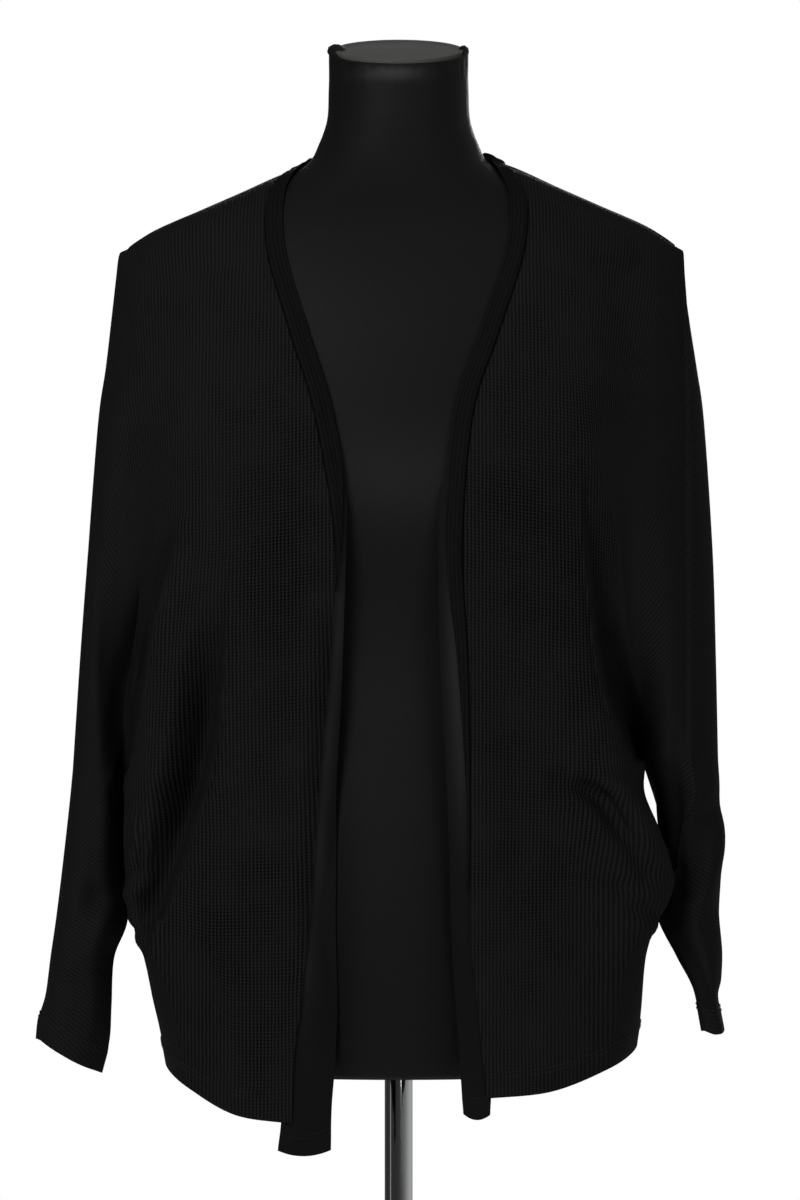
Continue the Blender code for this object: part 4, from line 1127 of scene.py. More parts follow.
class Cloth:
    """A piece of cloth: grids of its middle surface that share points, thickened to a wall."""

    def __init__(self):
        self.places, self.quads, self.count = [], [], 0

    def add(self, grid, normals, layers, walls, first_row=None):
        """Adds a grid and returns its points' numbers. first_row: the row it hangs from."""
        numbers = np.arange(walls.size).reshape(walls.shape) + self.count
        self.count += walls.size
        places = np.concatenate([grid, normals, layers, walls[..., None]], axis=-1)
        self.places.append(places.reshape(walls.size, -1))
        if first_row is not None:
            numbers[0] = first_row
        return numbers

    def fill(self, numbers):
        quads = (numbers[:-1, :-1], numbers[1:, :-1], numbers[1:, 1:], numbers[:-1, 1:])
        self.quads.append(np.stack(quads, axis=-1).reshape(-1, 4))

    def build(self, name, material, stretched=OPENWORK):
        places = np.concatenate(self.places)
        quads = []
        for grid in self.quads:
            corners = places[grid, :3]
            facing = np.cross(corners[:, 2] - corners[:, 0], corners[:, 3] - corners[:, 1])
            turned = (facing * places[grid[:, 0], 3:6]).sum() < 0
            quads.append(grid[:, ::-1] if turned else grid)
        used, quads = np.unique(np.concatenate(quads), return_inverse=True)
        quads = quads.reshape(-1, 4)
        points, normals, layers, walls = np.split(places[used], (3, 6, 9), axis=1)
        count = len(points)
        shell = np.concatenate([points + normals * walls / 2, points - normals * walls / 2])
        edges = np.stack([quads, np.roll(quads, -1, axis=1)], axis=-1).reshape(-1, 2)
        ahead, behind = edges @ (count, 1), edges @ (1, count)
        rim = edges[~np.isin(ahead, behind)]
        sides = np.stack([rim[:, 1], rim[:, 0], rim[:, 0] + count, rim[:, 1] + count], axis=-1)
        faces = np.concatenate([quads, quads[:, ::-1] + count, sides])
        layers = np.concatenate([layers, layers])
        return add_mesh(name, shell, faces.tolist(), material, layers, stretched=stretched)


def hem_walls(sheet):
    """Wall thickness of a sheet whose last row is a turned hem."""
    _, down = lengths(sheet)
    left = down[-1] - down
    return mixed(CLOTH, HEM_THICKNESS, eased((HEM_DEPTH - left) / HEM_STEP + 0.5))


def add_panel(cloth, side, panel):
    """Adds a side's three grids of a panel, each stopping short of its seams. Returns the numbers
    of their points."""
    grids = [sheet[:, columns].copy() for sheet, columns in zip(side.sheets, PANELS[panel])]
    normals = [sheet[:, columns] for sheet, columns in zip(side.normals, PANELS[panel])]
    top, lower, arm = grids
    gap = SEAM_GAP / 2
    seam = (-1, -2) if panel == "front" else (0, 1)
    for grid, (column, inside) in ((top, seam), (lower, seam), (arm, (0, 1)), (arm, (-1, -2))):
        grid[:, column] += unit(grid[:, inside] - grid[:, column]) * gap
    shoulder = NAPE + 1 - PANELS[panel][0].start
    top[0, :shoulder, 1] += gap if panel == "back" else -gap
    walls = np.full(top.shape[:2], CLOTH)
    numbers = [cloth.add(top, normals[0], side.knit[panel][0], walls)]
    for i in (BODY_SHEET, SLEEVE_SHEET):
        first = numbers[0][-1, HANGS_FROM[panel][i - 1]]
        walls = hem_walls(grids[i])
        numbers.append(cloth.add(grids[i], normals[i], side.knit[panel][i], walls, first))
    return numbers


def make_front(side, material):
    """A front with the front of its sleeve, cut in one."""
    cloth = Cloth()
    for numbers in add_panel(cloth, side, "front"):
        cloth.fill(numbers)
    return cloth.build(side.name + "_front", material)


def make_back(sides, material):
    """The back with the backs of both sleeves. Its halves share the points down the middle."""
    cloth = Cloth()
    left, right = (add_panel(cloth, side, "back") for side in sides)
    for numbers, others in zip(left[:2], right[:2]):
        others[:, -1] = numbers[:, -1]
    for numbers in left + right:
        cloth.fill(numbers)
    return cloth.build("back_with_sleeves", material)


def tube_faces(rings, points_round):
    """Quads between rings of equal point count, with flat ends."""
    faces = []
    for r in range(rings - 1):
        for c in range(points_round):
            a, b = r * points_round + c, r * points_round + (c + 1) % points_round
            faces.append((a, b, b + points_round, a + points_round))
    faces.append(tuple(reversed(range(points_round))))
    faces.append(tuple((rings - 1) * points_round + c for c in range(points_round)))
    return faces


def smoothed(directions):
    """Directions along a line, each evened out with its neighbours."""
    for _ in range(BAND_SMOOTHING):
        inside = (directions[:-2] + 2 * directions[1:-1] + directions[2:]) / 4
        directions = unit(np.concatenate([directions[:1], inside, directions[-1:]]))
    return directions


def squared(value):
    """A sine or cosine that gives a rounded rectangle instead of a circle."""
    return math.copysign(abs(value) ** BAND_CORNER, value)


def round_opening(grids, inwards=0):
    """The line from the centre back round the neck and down the edge, or the one inside it."""
    top, lower = grids[:2]
    return np.concatenate([top[inwards, NAPE + 1 :][::-1], top[:, inwards], lower[1:, inwards]])


def make_band(side, material):
    """The narrow doubled band along the opening, from the centre back to its tip."""
    edge = round_opening(side.sheets)
    across = smoothed(unit(edge - round_opening(side.sheets, 1)))
    facing = smoothed(round_opening(side.normals))
    neck = CENTRE - NAPE
    drops = NECK_POINT_HEIGHT - edge[:, 2]
    drops[:neck] = 0.0
    start, end = BAND_TAPER[side.name]
    keep = drops <= end
    edge, across, facing, drops = edge[keep], across[keep], facing[keep], drops[keep]
    width = mixed(BAND_WIDTH, BAND_TIP_WIDTH, eased((drops - start) / (end - start)))
    far = edge + across * (BAND_GAP + width)[:, None]
    far = off_form(reframed(far, np.abs(far[:, 0])), CLOTH / 2 + BAND_REST)
    across = unit(reframed(far, side.sign * far[:, 0]) - edge)
    along = np.gradient(edge, axis=0)
    along[0] = (side.sign, 0, 0)
    thick = unit(np.cross(across, along))
    thick *= np.sign((thick * facing).sum(axis=-1, keepdims=True))
    edge[0, 0] += side.sign * SEAM_GAP / 2
    run = run_along(edge)
    points, layers = [], []
    for i in range(len(edge)):
        front = min(BAND_THICKNESS, max(CLOTH, width[i] / 2)) - CLOTH / 2
        front *= 1 - NECK_PRESS * bell((run[i] - run[neck]) / NECK_PRESS_RUN)
        for turn in range(BAND_ROUND):
            angle = 2 * math.pi * turn / BAND_ROUND
            c, s = squared(math.cos(angle)), squared(math.sin(angle))
            out = width[i] / 2 * (1 + c)
            lift = (front if s > 0 else CLOTH / 2) * s
            if lift > 0:
                # The band stands up beside its seam and falls away to its free edge.
                fall = eased((out / width[i] - BAND_RIDGE) / (1 - 2 * BAND_RIDGE))
                lift *= mixed(1, mixed(BAND_HIGH, BAND_LOW, fall), width[i] / BAND_WIDTH)
            points.append(edge[i] + across[i] * (BAND_GROOVE + out) + thick[i] * lift)
            layers.append((out, run[i], 1.0))
    faces = tube_faces(len(edge), BAND_ROUND)
    if side.name == "right":
        faces = [face[::-1] for face in faces]
    return add_mesh(side.name + "_band", points, faces, material, layers, sharp=70)


def make_strip(side, material):
    """The smooth strip that hangs beside the front, tucked behind the front's edge. Also returns
    its grid, directions and walls."""
    rows = through(STRIP[side.name], [STRIP_FINE] * (len(STRIP[side.name]) - 1))
    front = np.concatenate([side.sheets[0][:, : RIDGE + 1], side.sheets[1][1:, : RIDGE + 1]])
    front = front[::STRIP_LOOKS]
    start, end = rows[0, 0], rows[-1, 0]
    parts = np.linspace(0, 1, STRIP_COLUMNS_FINE)
    grid = np.zeros((len(rows), len(parts), 3))
    for i, (drop, x_free, x_under, turn) in enumerate(rows):
        for j, part in enumerate(parts):
            hidden = STRIP_TOP_TUCK * (1 - eased((drop - start) / STRIP_TOP_RUN))
            x = mixed(x_free + hidden, x_under + hidden, part)
            depths = [np.interp(x, np.abs(row[:, 0]), row[:, 1]) for row in front]
            y = np.interp(drop, NECK_POINT_HEIGHT - front[:, 0, 2], depths) + STRIP_BEHIND
            y += turn * (1 - part) ** STRIP_ROLL
            wave_turn = drop / STRIP_WAVE_LENGTH + STRIP_WAVE_START * side.sign
            y += STRIP_WAVE * math.sin(wave_turn) * (1 - part)
            corner = STRIP_ROUND * (2 * part - 1) ** 2 * eased(1 - (end - drop) / STRIP_ROUND_FADE)
            grid[i, j] = (x, y, NECK_POINT_HEIGHT - drop + corner)
    grid = off_form(reframed(grid, grid[..., 0]))
    grid = reframed(grid, side.sign * grid[..., 0])
    normals = -side.sign * normals_of(grid)
    across, down = lengths(grid)
    layers = np.stack([across, down, np.ones_like(across)], axis=-1)
    left = end - rows[:, 0]
    walls = mixed(CLOTH, STRIP_HEM_WALL, eased((STRIP_HEM - left) / STRIP_HEM_STEP))
    walls = np.repeat(walls[:, None], len(parts), 1)
    cloth = Cloth()
    cloth.fill(cloth.add(grid, normals, layers, walls))
    return cloth.build(side.name + "_strip", material, STRIP_PAINTED_HIGHLIGHT), grid, normals, walls


def thread_along(name, lines, material):
    """Rows of straight stitches. lines: places and outward directions of each row of thread."""
    points, faces = [], []
    for places, outward in lines:
        run = run_along(places)
        for i in range(max(int(run[-1] / STITCH_PITCH), 1)):
            ends = (i + (1 - STITCH_SHARE) / 2, i + (1 + STITCH_SHARE) / 2)
            at = [min(e * STITCH_PITCH, run[-1]) for e in (ends[0], sum(ends) / 2, ends[1])]
            spots = np.array([read_at(a, run, places) for a in at])
            up = unit(read_at(at[1], run, outward))
            side_way = np.cross(unit(spots[2] - spots[0]), up)
            round_it = tube_faces(len(spots), STITCH_SIDES)
            faces += [tuple(len(points) + number for number in face) for face in round_it]
            for spot, lift, size in zip(spots, STITCH_LIFTS, STITCH_SIZES):
                for turn in range(STITCH_SIDES):
                    angle = 2 * math.pi * turn / STITCH_SIDES
                    reach = side_way * math.cos(angle) + up * math.sin(angle)
                    points.append(spot + up * lift + reach * THREAD / 2 * size)
    return add_mesh(name, points, faces, material)


def line_from_hem(grid, normals, walls, distance, columns=slice(None)):
    """A line on the cloth's outer face at this distance from its last row."""
    places, outward = [], []
    cloth = np.concatenate([grid, normals, walls[..., None]], axis=-1)[:, columns]
    _, down = lengths(grid[:, columns])
    for c in range(cloth.shape[1]):
        # np.interp needs rising distances, so each column is read from the hem upwards.
        here = read_at(distance, (down[-1, c] - down[:, c])[::-1], cloth[::-1, c])
        facing = unit(here[3:6])
        places.append(here[:3] + facing * here[6] / 2)
        outward.append(facing)
    return np.array(places), np.array(outward)


def make_hem_stitches(side, panel, material):
    """Two rows of stitches along the turned hems of the body and the sleeve."""
    lines = [
        line_from_hem(sheet, normals, hem_walls(sheet), distance, columns)
        for sheet, normals, columns in zip(side.sheets[1:], side.normals[1:], STITCHED[panel])
        for distance in HEM_STITCH_LINES
    ]
    return thread_along(f"{side.name}_{panel}_hem_stitches", lines, material)


# ---------------------------------------------------------------- form, neck plate, pole and foot


FORM_ANGLES = np.linspace(0, 2 * math.pi, FORM_SEGMENTS, endpoint=False)
CIRCLE = np.stack([np.cos(FORM_ANGLES), np.sin(FORM_ANGLES), np.zeros(FORM_SEGMENTS)], axis=-1)


def form_rings(drops, inset=0):
    """Rings of the form. Near the top of the neck they tilt down at the front."""
    sizes = form_sizes(drops) - inset
    tilt = math.tan(math.radians(NECK_TOP_TILT))
    tilt = tilt * eased(1 - (drops - FORM_DROPS[0]) / NECK_TILT_FADE)
    c, s = CIRCLE[:, 0], CIRCLE[:, 1]
    reach = (np.abs(c) ** FORM_ROUNDNESS + np.abs(s) ** FORM_ROUNDNESS) ** (-1 / FORM_ROUNDNESS)
    x = sizes[:, 0, None] * reach * c
    y = np.where(s < 0, sizes[:, 1, None], sizes[:, 2, None]) * reach * s
    z = NECK_POINT_HEIGHT - drops[:, None] + tilt[:, None] * y
    return np.stack([x, y, z], axis=-1)


def make_form(material):
    """The form under its jersey cover, with the bore for the pole in its flat underside."""
    steps = [max(int(round(gap / FORM_STEP)), 2) for gap in np.diff(FORM_DROPS)]
    drops = np.clip(through(FORM_DROPS[:, None], steps)[:, 0], FORM_DROPS[0], FORM_DROPS[-1])
    rings = form_rings(drops)
    # Small gathers where the cover is drawn in under the neck plate.
    fade = bell((drops - FORM_DROPS[0]) / GATHER_DEPTH)[:, None]
    ripple = sum(h * np.cos(n * FORM_ANGLES + p) for n, h, p in GATHERS)
    outward = unit(rings * (1, 1, 0))
    collar = []
    for ring in COLLAR:
        inset, rise = (np.full(FORM_SEGMENTS, size) for size in (ring.inset, ring.rise))
        for tuft in COLLAR_TUFTS:
            near = bell((np.pi - np.abs(np.pi - FORM_ANGLES) - tuft.turn) / tuft.half_turn)
            inset += ring.in_share * tuft.inwards * near
            rise += ring.up_share * tuft.height * near
        collar.append(rings[0] - outward[0] * inset[:, None] + rise[:, None] * (0, 0, 1))
    rings = rings + outward * (fade * ripple)[..., None]
    bottom = form_rings(np.array([FORM_BOTTOM_DROP]), FORM_EDGE_INSET)
    bore = CIRCLE * (POLE_RADIUS + POLE_FIT) + (0, 0, NECK_POINT_HEIGHT - FORM_BOTTOM_DROP)
    inner = bore + (0, 0, POLE_IN_FORM + POLE_FIT)
    rings = np.concatenate([collar, rings, bottom, [bore, inner]])
    across = np.linalg.norm(np.diff(rings, axis=1, append=rings[:, :1]), axis=-1)
    u = np.cumsum(across, axis=1) - across
    layers = np.stack([u, lengths(rings)[1], np.ones_like(u)], axis=-1).reshape(-1, 3)
    faces = [face[::-1] for face in tube_faces(len(rings), FORM_SEGMENTS)]
    points = rings.reshape(-1, 3)
    return add_mesh("form_cover", points, faces, material, layers, sharp=60, stretched=COVER_TONE_AND_PAINTED_LIGHT)


def settled(piece):
    """Selects a piece and puts its place, turn and scale into its mesh."""
    bpy.ops.object.select_all(action="DESELECT")
    piece.select_set(True)
    bpy.context.view_layer.objects.active = piece
    bpy.ops.object.transform_apply(location=True, rotation=True, scale=True)


def edit_top(piece):
    """Starts editing a solid, with the flat face on its top selected."""
    settled(piece)
    for part in (piece.data.vertices, piece.data.edges):
        part.foreach_set("select", np.zeros(len(part), bool))
    for face in piece.data.polygons:
        face.select = face.normal.z > TOP_FACING
    bpy.ops.object.mode_set(mode="EDIT")
    bpy.ops.mesh.select_mode(type="FACE")


def finish_solid(piece, material, bevel, segments=3, sharp=30):
    """Bevels a solid's edges and smooths it."""
    settled(piece)
    edges = piece.modifiers.new("Rounded edges", "BEVEL")
    edges.width = bevel * MM
    edges.segments = segments
    edges.limit_method = "ANGLE"
    edges.angle_limit = math.radians(sharp)
    bpy.ops.object.modifier_apply(modifier=edges.name)
    bpy.ops.object.shade_smooth_by_angle(angle=math.radians(sharp))
    piece.data.materials.clear()
    piece.data.materials.append(material)
    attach(piece, "root")
    return piece


def make_cap(material):
    """The covered plate on the end of the neck: its cloth is turned over a raised edge."""
    _, front, back = form_sizes(FORM_DROPS[:1])[0]
    middle = (back - front) / 2
    tilt = math.radians(NECK_TOP_TILT)
    base = NECK_POINT_HEIGHT - FORM_DROPS[0] + SEAM_GAP + math.tan(tilt) * middle
    lift = CAP_THICKNESS / 2 / math.cos(tilt)
    bpy.ops.mesh.primitive_cylinder_add(
        vertices=CYLINDER_SIDES, radius=MM, depth=CAP_THICKNESS * MM
    )
    cap = bpy.context.object
    cap.name = "neck_plate"
    cap.scale = (PLATE_HALF_WIDTH, PLATE_HALF_DEPTH / math.cos(tilt), 1)
    cap.rotation_euler = (tilt, 0, 0)
    cap.location = (0, middle * MM, (base + lift) * MM)
    edit_top(cap)
    for inset, rise in CAP_STEPS:
        bpy.ops.mesh.inset(thickness=inset * MM, depth=rise * MM)
    bpy.ops.object.mode_set(mode="OBJECT")
    return finish_solid(cap, material, CAP_BEVEL, segments=4, sharp=40)


def make_pole(material):
    bottom = BASE_FLOOR + SEAM_GAP
    top = NECK_POINT_HEIGHT - FORM_BOTTOM_DROP + POLE_IN_FORM - SEAM_GAP
    bpy.ops.mesh.primitive_cylinder_add(
        vertices=CYLINDER_SIDES, radius=POLE_RADIUS * MM, depth=(top - bottom) * MM,
        location=(0, 0, (top + bottom) / 2 * MM),
    )
    pole = bpy.context.object
    pole.name = "stand_pole"
    return finish_solid(pole, material, STEEL_BEVEL)


def make_foot(material):
    """The round foot, drawn up into a hub by extruding and insetting its top."""
    bpy.ops.mesh.primitive_cylinder_add(
        vertices=FOOT_SIDES, radius=BASE_RADIUS * MM, depth=BASE_EDGE * MM,
        location=(0, 0, BASE_EDGE / 2 * MM),
    )
    foot = bpy.context.object
    foot.name = "stand_foot"
    edit_top(foot)
    for inset, rise in FOOT_STEPS:
        if inset:
            bpy.ops.mesh.inset(thickness=inset * MM, depth=0)
            if rise:
                bpy.ops.transform.translate(value=(0, 0, rise * MM))
        else:
            bpy.ops.mesh.extrude_region_move(TRANSFORM_OT_translate={"value": (0, 0, rise * MM)})
    bpy.ops.object.mode_set(mode="OBJECT")
    return finish_solid(foot, material, STEEL_BEVEL)


# ---------------------------------------------------------------- finishes


def srgb(code):
    """The linear colour of a hex code such as 1A1A1B."""
    values = [int(code[i : i + 2], 16) / 255 for i in (0, 2, 4)]
    linear = [v / 12.92 if v <= 0.04045 else ((v + 0.055) / 1.055) ** 2.4 for v in values]
    return (*linear, 1.0)


def node(tree, kind, inputs=None, **settings):
    """Adds a shader node with its settings. inputs: what each socket holds, or is linked to. A
    node stands for its first output."""
    made = tree.nodes.new("ShaderNode" + kind)
    for name, value in settings.items():
        setattr(made, name, value)
    for socket, value in (inputs or {}).items():
        if isinstance(value, bpy.types.Node):
            value = value.outputs[0]
        if isinstance(value, bpy.types.NodeSocket):
            tree.links.new(value, made.inputs[socket])
        else:
            made.inputs[socket].default_value = value
    return made


def make_material(name, surface, *settings):
    """A material of this name. surface: the function that builds its shader in a node tree, from
    places in the part's frame and these settings."""
    material = bpy.data.materials.new(name)
    material.use_nodes = True
    tree = material.node_tree
    tree.nodes.clear()
    here = node(tree, "TexCoord").outputs["Object"]
    node(tree, "OutputMaterial", {"Surface": surface(tree, here, *settings)})
    return material


def wave(tree, distance, pitch):
    """0 to 1 and back once in each pitch of this distance."""
    turns = node(tree, "Math", {0: distance, 1: 2 * math.pi / pitch}, operation="MULTIPLY")
    height = node(tree, "Math", {0: turns}, operation="COSINE")
    return node(tree, "Math", {0: height, 1: 0.5, 2: 0.5}, operation="MULTIPLY_ADD")


def rib_knit(tree, here, yarn, gap, relief, openness):
    """Fine rib knit of spun viscose: matt yarn in raised ribs 2.7 mm apart, crossed by rungs
    2.4 mm apart, which show as a dark open mesh where the cloth is stretched. The fuzz of the
    yarn takes the gloss off, so folds show by their shade alone."""
    places = node(tree, "Attribute", attribute_name="knit").outputs["Vector"]
    u, v, clear = node(tree, "SeparateXYZ", {0: places}).outputs
    # Yarn wanders a little, so no rib is quite straight.
    wander = node(tree, "TexNoise", {"Vector": here, "Scale": 60.0, "Detail": 2.0})
    u = node(tree, "Math", {0: wander, 1: RIB_WANDER, 2: u}, operation="MULTIPLY_ADD")
    rib = wave(tree, u, RIB_PITCH)
    rung = wave(tree, v, RUNG_PITCH)
    furrow = node(tree, "Math", {0: 1.0, 1: rib}, operation="SUBTRACT")
    between = node(tree, "Math", {0: 1.0, 1: rung}, operation="SUBTRACT")
    hole = node(tree, "Math", {0: furrow, 1: between}, operation="MULTIPLY")
    # How far the mesh is open varies from place to place.
    patches = node(tree, "TexNoise", {"Vector": here, "Scale": 34.0, "Detail": 1.0})
    uneven = {0: patches, 1: OPEN_VARIES, 2: OPEN_LEAST}
    uneven = node(tree, "Math", uneven, operation="MULTIPLY_ADD")
    stretch = node(tree, "Attribute", attribute_name="openwork").outputs["Fac"]
    patch_level = node(tree, "Math", {0: stretch, 1: uneven}, operation="MULTIPLY")
    hole = node(tree, "Math", {0: hole, 1: patch_level}, operation="MULTIPLY")
    furrow = node(tree, "Math", {0: furrow, 1: FURROW_SHARE, 2: hole}, operation="MULTIPLY_ADD")
    # Where the ribs crowd together they run into one even tone.
    furrow = node(tree, "Mix", {0: clear, 2: CROWDED_TONE, 3: furrow}, data_type="FLOAT")
    fuzz = node(tree, "TexNoise", {"Vector": here, "Scale": 900.0, "Detail": 2.0})
    height = node(tree, "Math", {0: fuzz, 1: FUZZ_SHARE}, operation="MULTIPLY")
    height = node(tree, "Math", {0: height, 1: furrow}, operation="SUBTRACT")
    tone = {0: patches, 1: TONE_VARIES, 2: openness - TONE_VARIES / 2}
    tone = node(tree, "Math", tone, operation="MULTIPLY_ADD")
    shade = node(tree, "Math", {0: furrow, 1: tone}, operation="MULTIPLY", use_clamp=True)
    colour = node(tree, "Mix", {0: shade, 6: srgb(yarn), 7: srgb(gap)}, data_type="RGBA")
    bump = node(tree, "Bump", {"Height": height, "Strength": 1.0, "Distance": relief * MM})
    looks = {"Base Color": colour.outputs[2], "Roughness": 0.85, "Specular IOR Level": 0.03}
    looks |= {"Sheen Weight": 0.005, "Sheen Roughness": 0.45, "Sheen Tint": srgb("8A8A8C")}
    return node(tree, "BsdfPrincipled", {**looks, "Normal": bump})


def plain_jersey(tree, here, light, dark, stretched, specular, roughness):
    """Fine plain jersey of polyamide: smooth, evenly dark, with a soft silky highlight. Its
    wales are 0.9 mm apart and are drawn at 1.5 mm so that they show."""
    places = node(tree, "Attribute", attribute_name="knit").outputs["Vector"]
    u, v, _ = node(tree, "SeparateXYZ", {0: places}).outputs
    cloud = node(tree, "TexNoise", {"Vector": here, "Scale": 22.0, "Detail": 3.0})
    rows = wave(tree, v, COURSE_PITCH)
    rows = node(tree, "Math", {0: rows, 1: 0.5, 2: 0.5}, operation="MULTIPLY_ADD")
    loops = node(tree, "Math", {0: wave(tree, u, WALE_PITCH), 1: rows}, operation="MULTIPLY")
    grain = node(tree, "TexNoise", {"Vector": here, "Scale": 1400.0, "Detail": 1.0})
    share = node(tree, "Math", {0: cloud, 1: loops}, operation="ADD")
    share = node(tree, "Math", {0: share, 1: 0.5}, operation="MULTIPLY")
    colour = node(tree, "Mix", {0: share, 6: srgb(dark), 7: srgb(light)}, data_type="RGBA")
    # Paler by the patch table: an even tone over the cover, with painted highlight and painted
    # shade in patches.
    tone_and_painted_light = node(tree, "Attribute", attribute_name="openwork").outputs["Fac"]
    colour = colour.outputs[2]
    colour = node(tree, "Mix", {0: tone_and_painted_light, 6: colour, 7: srgb(stretched)}, data_type="RGBA")
    height = node(tree, "Math", {0: grain, 1: GRAIN_SHARE, 2: loops}, operation="MULTIPLY_ADD")
    bump = node(tree, "Bump", {"Height": height, "Strength": 0.7, "Distance": 0.12 * MM})
    looks = {"Base Color": colour.outputs[2], "Roughness": roughness, "Normal": bump}
    return node(tree, "BsdfPrincipled", {**looks, "Specular IOR Level": specular})


def sewing_thread(tree, here):
    """Spun polyester sewing thread, a little glossier than the knit."""
    twist = node(tree, "TexNoise", {"Vector": here, "Scale": 2500.0, "Detail": 1.0})
    dark, light = srgb("111112"), srgb("1D1D1E")
    colour = node(tree, "Mix", {0: twist, 6: dark, 7: light}, data_type="RGBA")
    looks = {"Base Color": colour.outputs[2], "Roughness": 0.6, "Specular IOR Level": 0.12}
    return node(tree, "BsdfPrincipled", looks)


def woven_cotton(tree, here):
    """Plain-woven grey cotton cloth stretched over a board. Threads are 0.5 mm apart and are
    drawn at 1 mm so that they show."""
    x, y, _ = node(tree, "SeparateXYZ", {0: here}).outputs
    warp, weft = wave(tree, x, WEAVE_PITCH * MM), wave(tree, y, WEAVE_PITCH * MM)
    weave = node(tree, "Math", {0: warp, 1: weft}, operation="MULTIPLY")
    worn = node(tree, "TexNoise", {"Vector": here, "Scale": 90.0, "Detail": 4.0})
    share = node(tree, "Math", {0: weave, 1: worn}, operation="ADD")
    share = node(tree, "Math", {0: share, 1: 0.5}, operation="MULTIPLY")
    dark, light = srgb("3D3D3B"), srgb("50504E")
    colour = node(tree, "Mix", {0: share, 6: dark, 7: light}, data_type="RGBA")
    bump = node(tree, "Bump", {"Height": weave, "Strength": 0.6, "Distance": 0.15 * MM})
    looks = {"Base Color": colour.outputs[2], "Roughness": 0.8, "Specular IOR Level": 0.15}
    return node(tree, "BsdfPrincipled", {**looks, "Normal": bump})


def polished_chrome(tree, here):
    """Polished chromium plate on steel tube: a mirror with faint polishing lines and a little
    haze where it is handled."""
    lines = node(tree, "Mapping", {"Vector": here, "Scale": (900.0, 900.0, 12.0)})
    streaks = node(tree, "TexNoise", {"Vector": lines, "Scale": 1.0, "Detail": 2.0})
    haze = node(tree, "TexNoise", {"Vector": here, "Scale": 25.0, "Detail": 3.0})
    rough = {0: haze, 1: CHROME_HAZE, 2: CHROME_ROUGH}
    rough = node(tree, "Math", rough, operation="MULTIPLY_ADD")
    bump = node(tree, "Bump", {"Height": streaks, "Strength": 0.15, "Distance": 0.02 * MM})
    looks = {"Base Color": srgb("CFD0D2"), "Metallic": 1.0, "Roughness": rough, "Normal": bump}
    return node(tree, "BsdfPrincipled", looks)


def turned_steel(tree, here):
    """Satin stainless steel, turned on a lathe: fine rings round its middle."""
    flat = node(tree, "VectorMath", {0: here, 1: (1, 1, 0)}, operation="MULTIPLY")
    radius = node(tree, "VectorMath", {0: flat}, operation="LENGTH").outputs["Value"]
    z = node(tree, "SeparateXYZ", {0: here}).outputs[2]
    ring = node(tree, "CombineXYZ", {0: radius, 1: z})
    grooves = node(tree, "TexNoise", {"Vector": ring, "Scale": 1500.0, "Detail": 2.0})
    marks = node(tree, "TexNoise", {"Vector": here, "Scale": 16.0, "Detail": 4.0})
    rough = {0: marks, 1: STEEL_MARKS, 2: STEEL_ROUGH}
    rough = node(tree, "Math", rough, operation="MULTIPLY_ADD")
    dark, light = srgb("A6A7A9"), srgb("BFC0C2")
    colour = node(tree, "Mix", {0: grooves, 6: dark, 7: light}, data_type="RGBA").outputs[2]
    bump = node(tree, "Bump", {"Height": grooves, "Strength": 0.4, "Distance": 0.05 * MM})
    looks = {"Base Color": colour, "Metallic": 1.0, "Roughness": rough, "Normal": bump}
    return node(tree, "BsdfPrincipled", looks)


# ---------------------------------------------------------------- studio


def pale_paper(tree, here):
    """Smooth matt paper, barely grained, that runs out into the white studio."""
    radius = node(tree, "VectorMath", {0: here}, operation="LENGTH").outputs["Value"]
    falling = {0: radius, 1: 1 / FLOOR_FADE, 2: 1 - FLOOR_REACH / FLOOR_FADE}
    fade = node(tree, "Math", falling, operation="MULTIPLY_ADD", use_clamp=True)
    grain = node(tree, "TexNoise", {"Vector": here, "Scale": 40.0, "Detail": 3.0})
    dark, light = srgb("F4F4F3"), srgb("FAFAF9")
    colour = node(tree, "Mix", {0: grain, 6: dark, 7: light}, data_type="RGBA")
    paper = node(tree, "BsdfDiffuse", {"Color": colour.outputs[2]})
    clear = node(tree, "BsdfTransparent")
    return node(tree, "MixShader", {0: fade, 1: paper, 2: clear})


def make_floor():
    bpy.ops.mesh.primitive_plane_add(size=2 * FLOOR_REACH, location=(0, 0, 0))
    floor = bpy.context.object
    floor.name = "studio_floor"
    floor.data.materials.append(make_material("pale paper floor", pale_paper))


def make_lamp(name, place, target, size, power):
    lamp = bpy.data.lights.new(name, "AREA")
    lamp.shape = "RECTANGLE"
    lamp.size, lamp.size_y = size
    lamp.energy = power
    holder = bpy.data.objects.new(name, lamp)
    holder.location = place
    holder.rotation_euler = (Vector(target) - Vector(place)).to_track_quat("-Z", "Y").to_euler()
    bpy.context.collection.objects.link(holder)


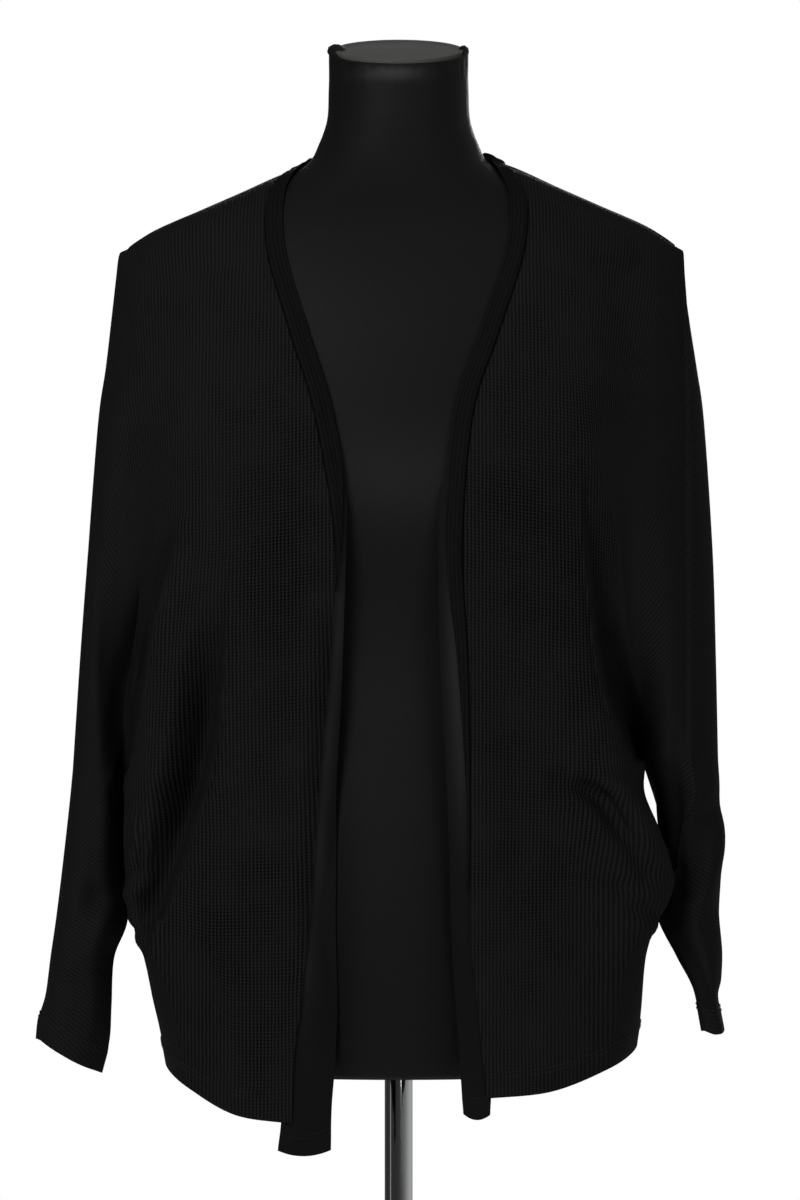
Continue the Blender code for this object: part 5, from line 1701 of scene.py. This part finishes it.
def make_world():
    """A white studio. What polished metal mirrors is the dark room beside the camera on its left,
    growing lighter round to the white wall behind the form."""
    studio = bpy.data.worlds.new("white studio")
    bpy.context.scene.world = studio
    studio.use_nodes = True
    tree = studio.node_tree
    tree.nodes.clear()
    path = node(tree, "LightPath").outputs
    rays = {0: path["Is Camera Ray"], 1: path["Is Transmission Ray"]}
    clean = node(tree, "Math", rays, operation="MAXIMUM")
    way = node(tree, "TexCoord").outputs["Generated"]
    x, y, _ = node(tree, "SeparateXYZ", {0: way}).outputs
    towards = node(tree, "Math", {0: y, 1: MIRROR_BEHIND, 2: x}, operation="MULTIPLY_ADD")
    share = node(tree, "MapRange", {0: towards, 1: -MIRROR_EDGE, 2: MIRROR_EDGE})
    share = node(tree, "Math", {0: share, 1: MIRROR_CURVE}, operation="POWER")
    mirrored = node(tree, "MapRange", {0: share, 3: MIRROR_DARK, 4: MIRROR_LIGHT})
    kinds = {0: path["Is Glossy Ray"], 2: WORLD_FILL, 3: mirrored}
    light = node(tree, "Mix", kinds, data_type="FLOAT")
    light = node(tree, "Mix", {0: clean, 2: light, 3: 1.0}, data_type="FLOAT")
    shader = node(tree, "Background", {"Color": (1, 1, 1, 1), "Strength": light})
    node(tree, "OutputWorld", {"Surface": shader})


def make_camera():
    camera = bpy.data.cameras.new("camera")
    camera.lens = CAMERA_LENS
    camera.sensor_width = CAMERA_SENSOR
    holder = bpy.data.objects.new("camera", camera)
    holder.location = CAMERA_PLACE
    holder.rotation_euler = (math.radians(90), 0, 0)
    bpy.context.collection.objects.link(holder)
    bpy.context.scene.camera = holder


# ---------------------------------------------------------------- putting it together


def stands_for(piece, solid):
    """Hides the solid that a piece replaces."""
    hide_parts(solid)
    return piece


def main():
    bpy.context.scene.view_settings.view_transform = "Standard"
    knit = make_material("black viscose rib knit", rib_knit, "181819", "020202", 0.38, 0.8)
    edge_knit = ("0F0F10", "030303", 0.3, 0.55)
    band_knit = make_material("black viscose edge band", rib_knit, *edge_knit)
    # The third colour is the paler one, of the strips' painted highlights.
    smooth = ("111112", "0C0C0D", "262627", 0.03, 0.7)
    plain = make_material("black plain knit, smooth side", plain_jersey, *smooth)
    # The third colour is the paler one, of the cover's even tone and its painted light.
    silky = ("0B0B0C", "070708", "313132", 0.04, 0.5)
    jersey = make_material("black polyamide jersey", plain_jersey, *silky)
    thread = make_material("black polyester thread", sewing_thread)

    left, right = Side("left"), Side("right")
    fronts, backs, bands, strips = [], [], [], []
    for side in (left, right):
        front = stands_for(make_front(side, knit), "front_" + side.name)
        bands.append(stands_for(make_band(side, band_knit), "band_" + side.name))
        strip, grid, normals, walls = make_strip(side, plain)
        stands_for(strip, "strip_" + side.name)
        front_thread = make_hem_stitches(side, "front", thread)
        back_thread = make_hem_stitches(side, "back", thread)
        lines = [line_from_hem(grid, normals, walls, d) for d in STRIP_STITCH_LINES]
        strip_thread = thread_along(side.name + "_strip_stitches", lines, thread)
        fronts.append((front, front_thread))
        backs.append(back_thread)
        strips.append((strip, strip_thread))
    back = stands_for(make_back((left, right), knit), "back")

    stands_for(make_form(jersey), "dress_form")
    cotton = make_material("grey cotton plate cover", woven_cotton)
    stands_for(make_cap(cotton), "neck_cap")
    chrome = make_material("polished chrome plate", polished_chrome)
    stands_for(make_pole(chrome), "pole")
    steel = make_material("satin turned steel", turned_steel)
    stands_for(make_foot(steel), "base")

    make_floor()
    make_world()
    for lamp in LAMPS:
        make_lamp(*lamp)
    make_camera()


main()
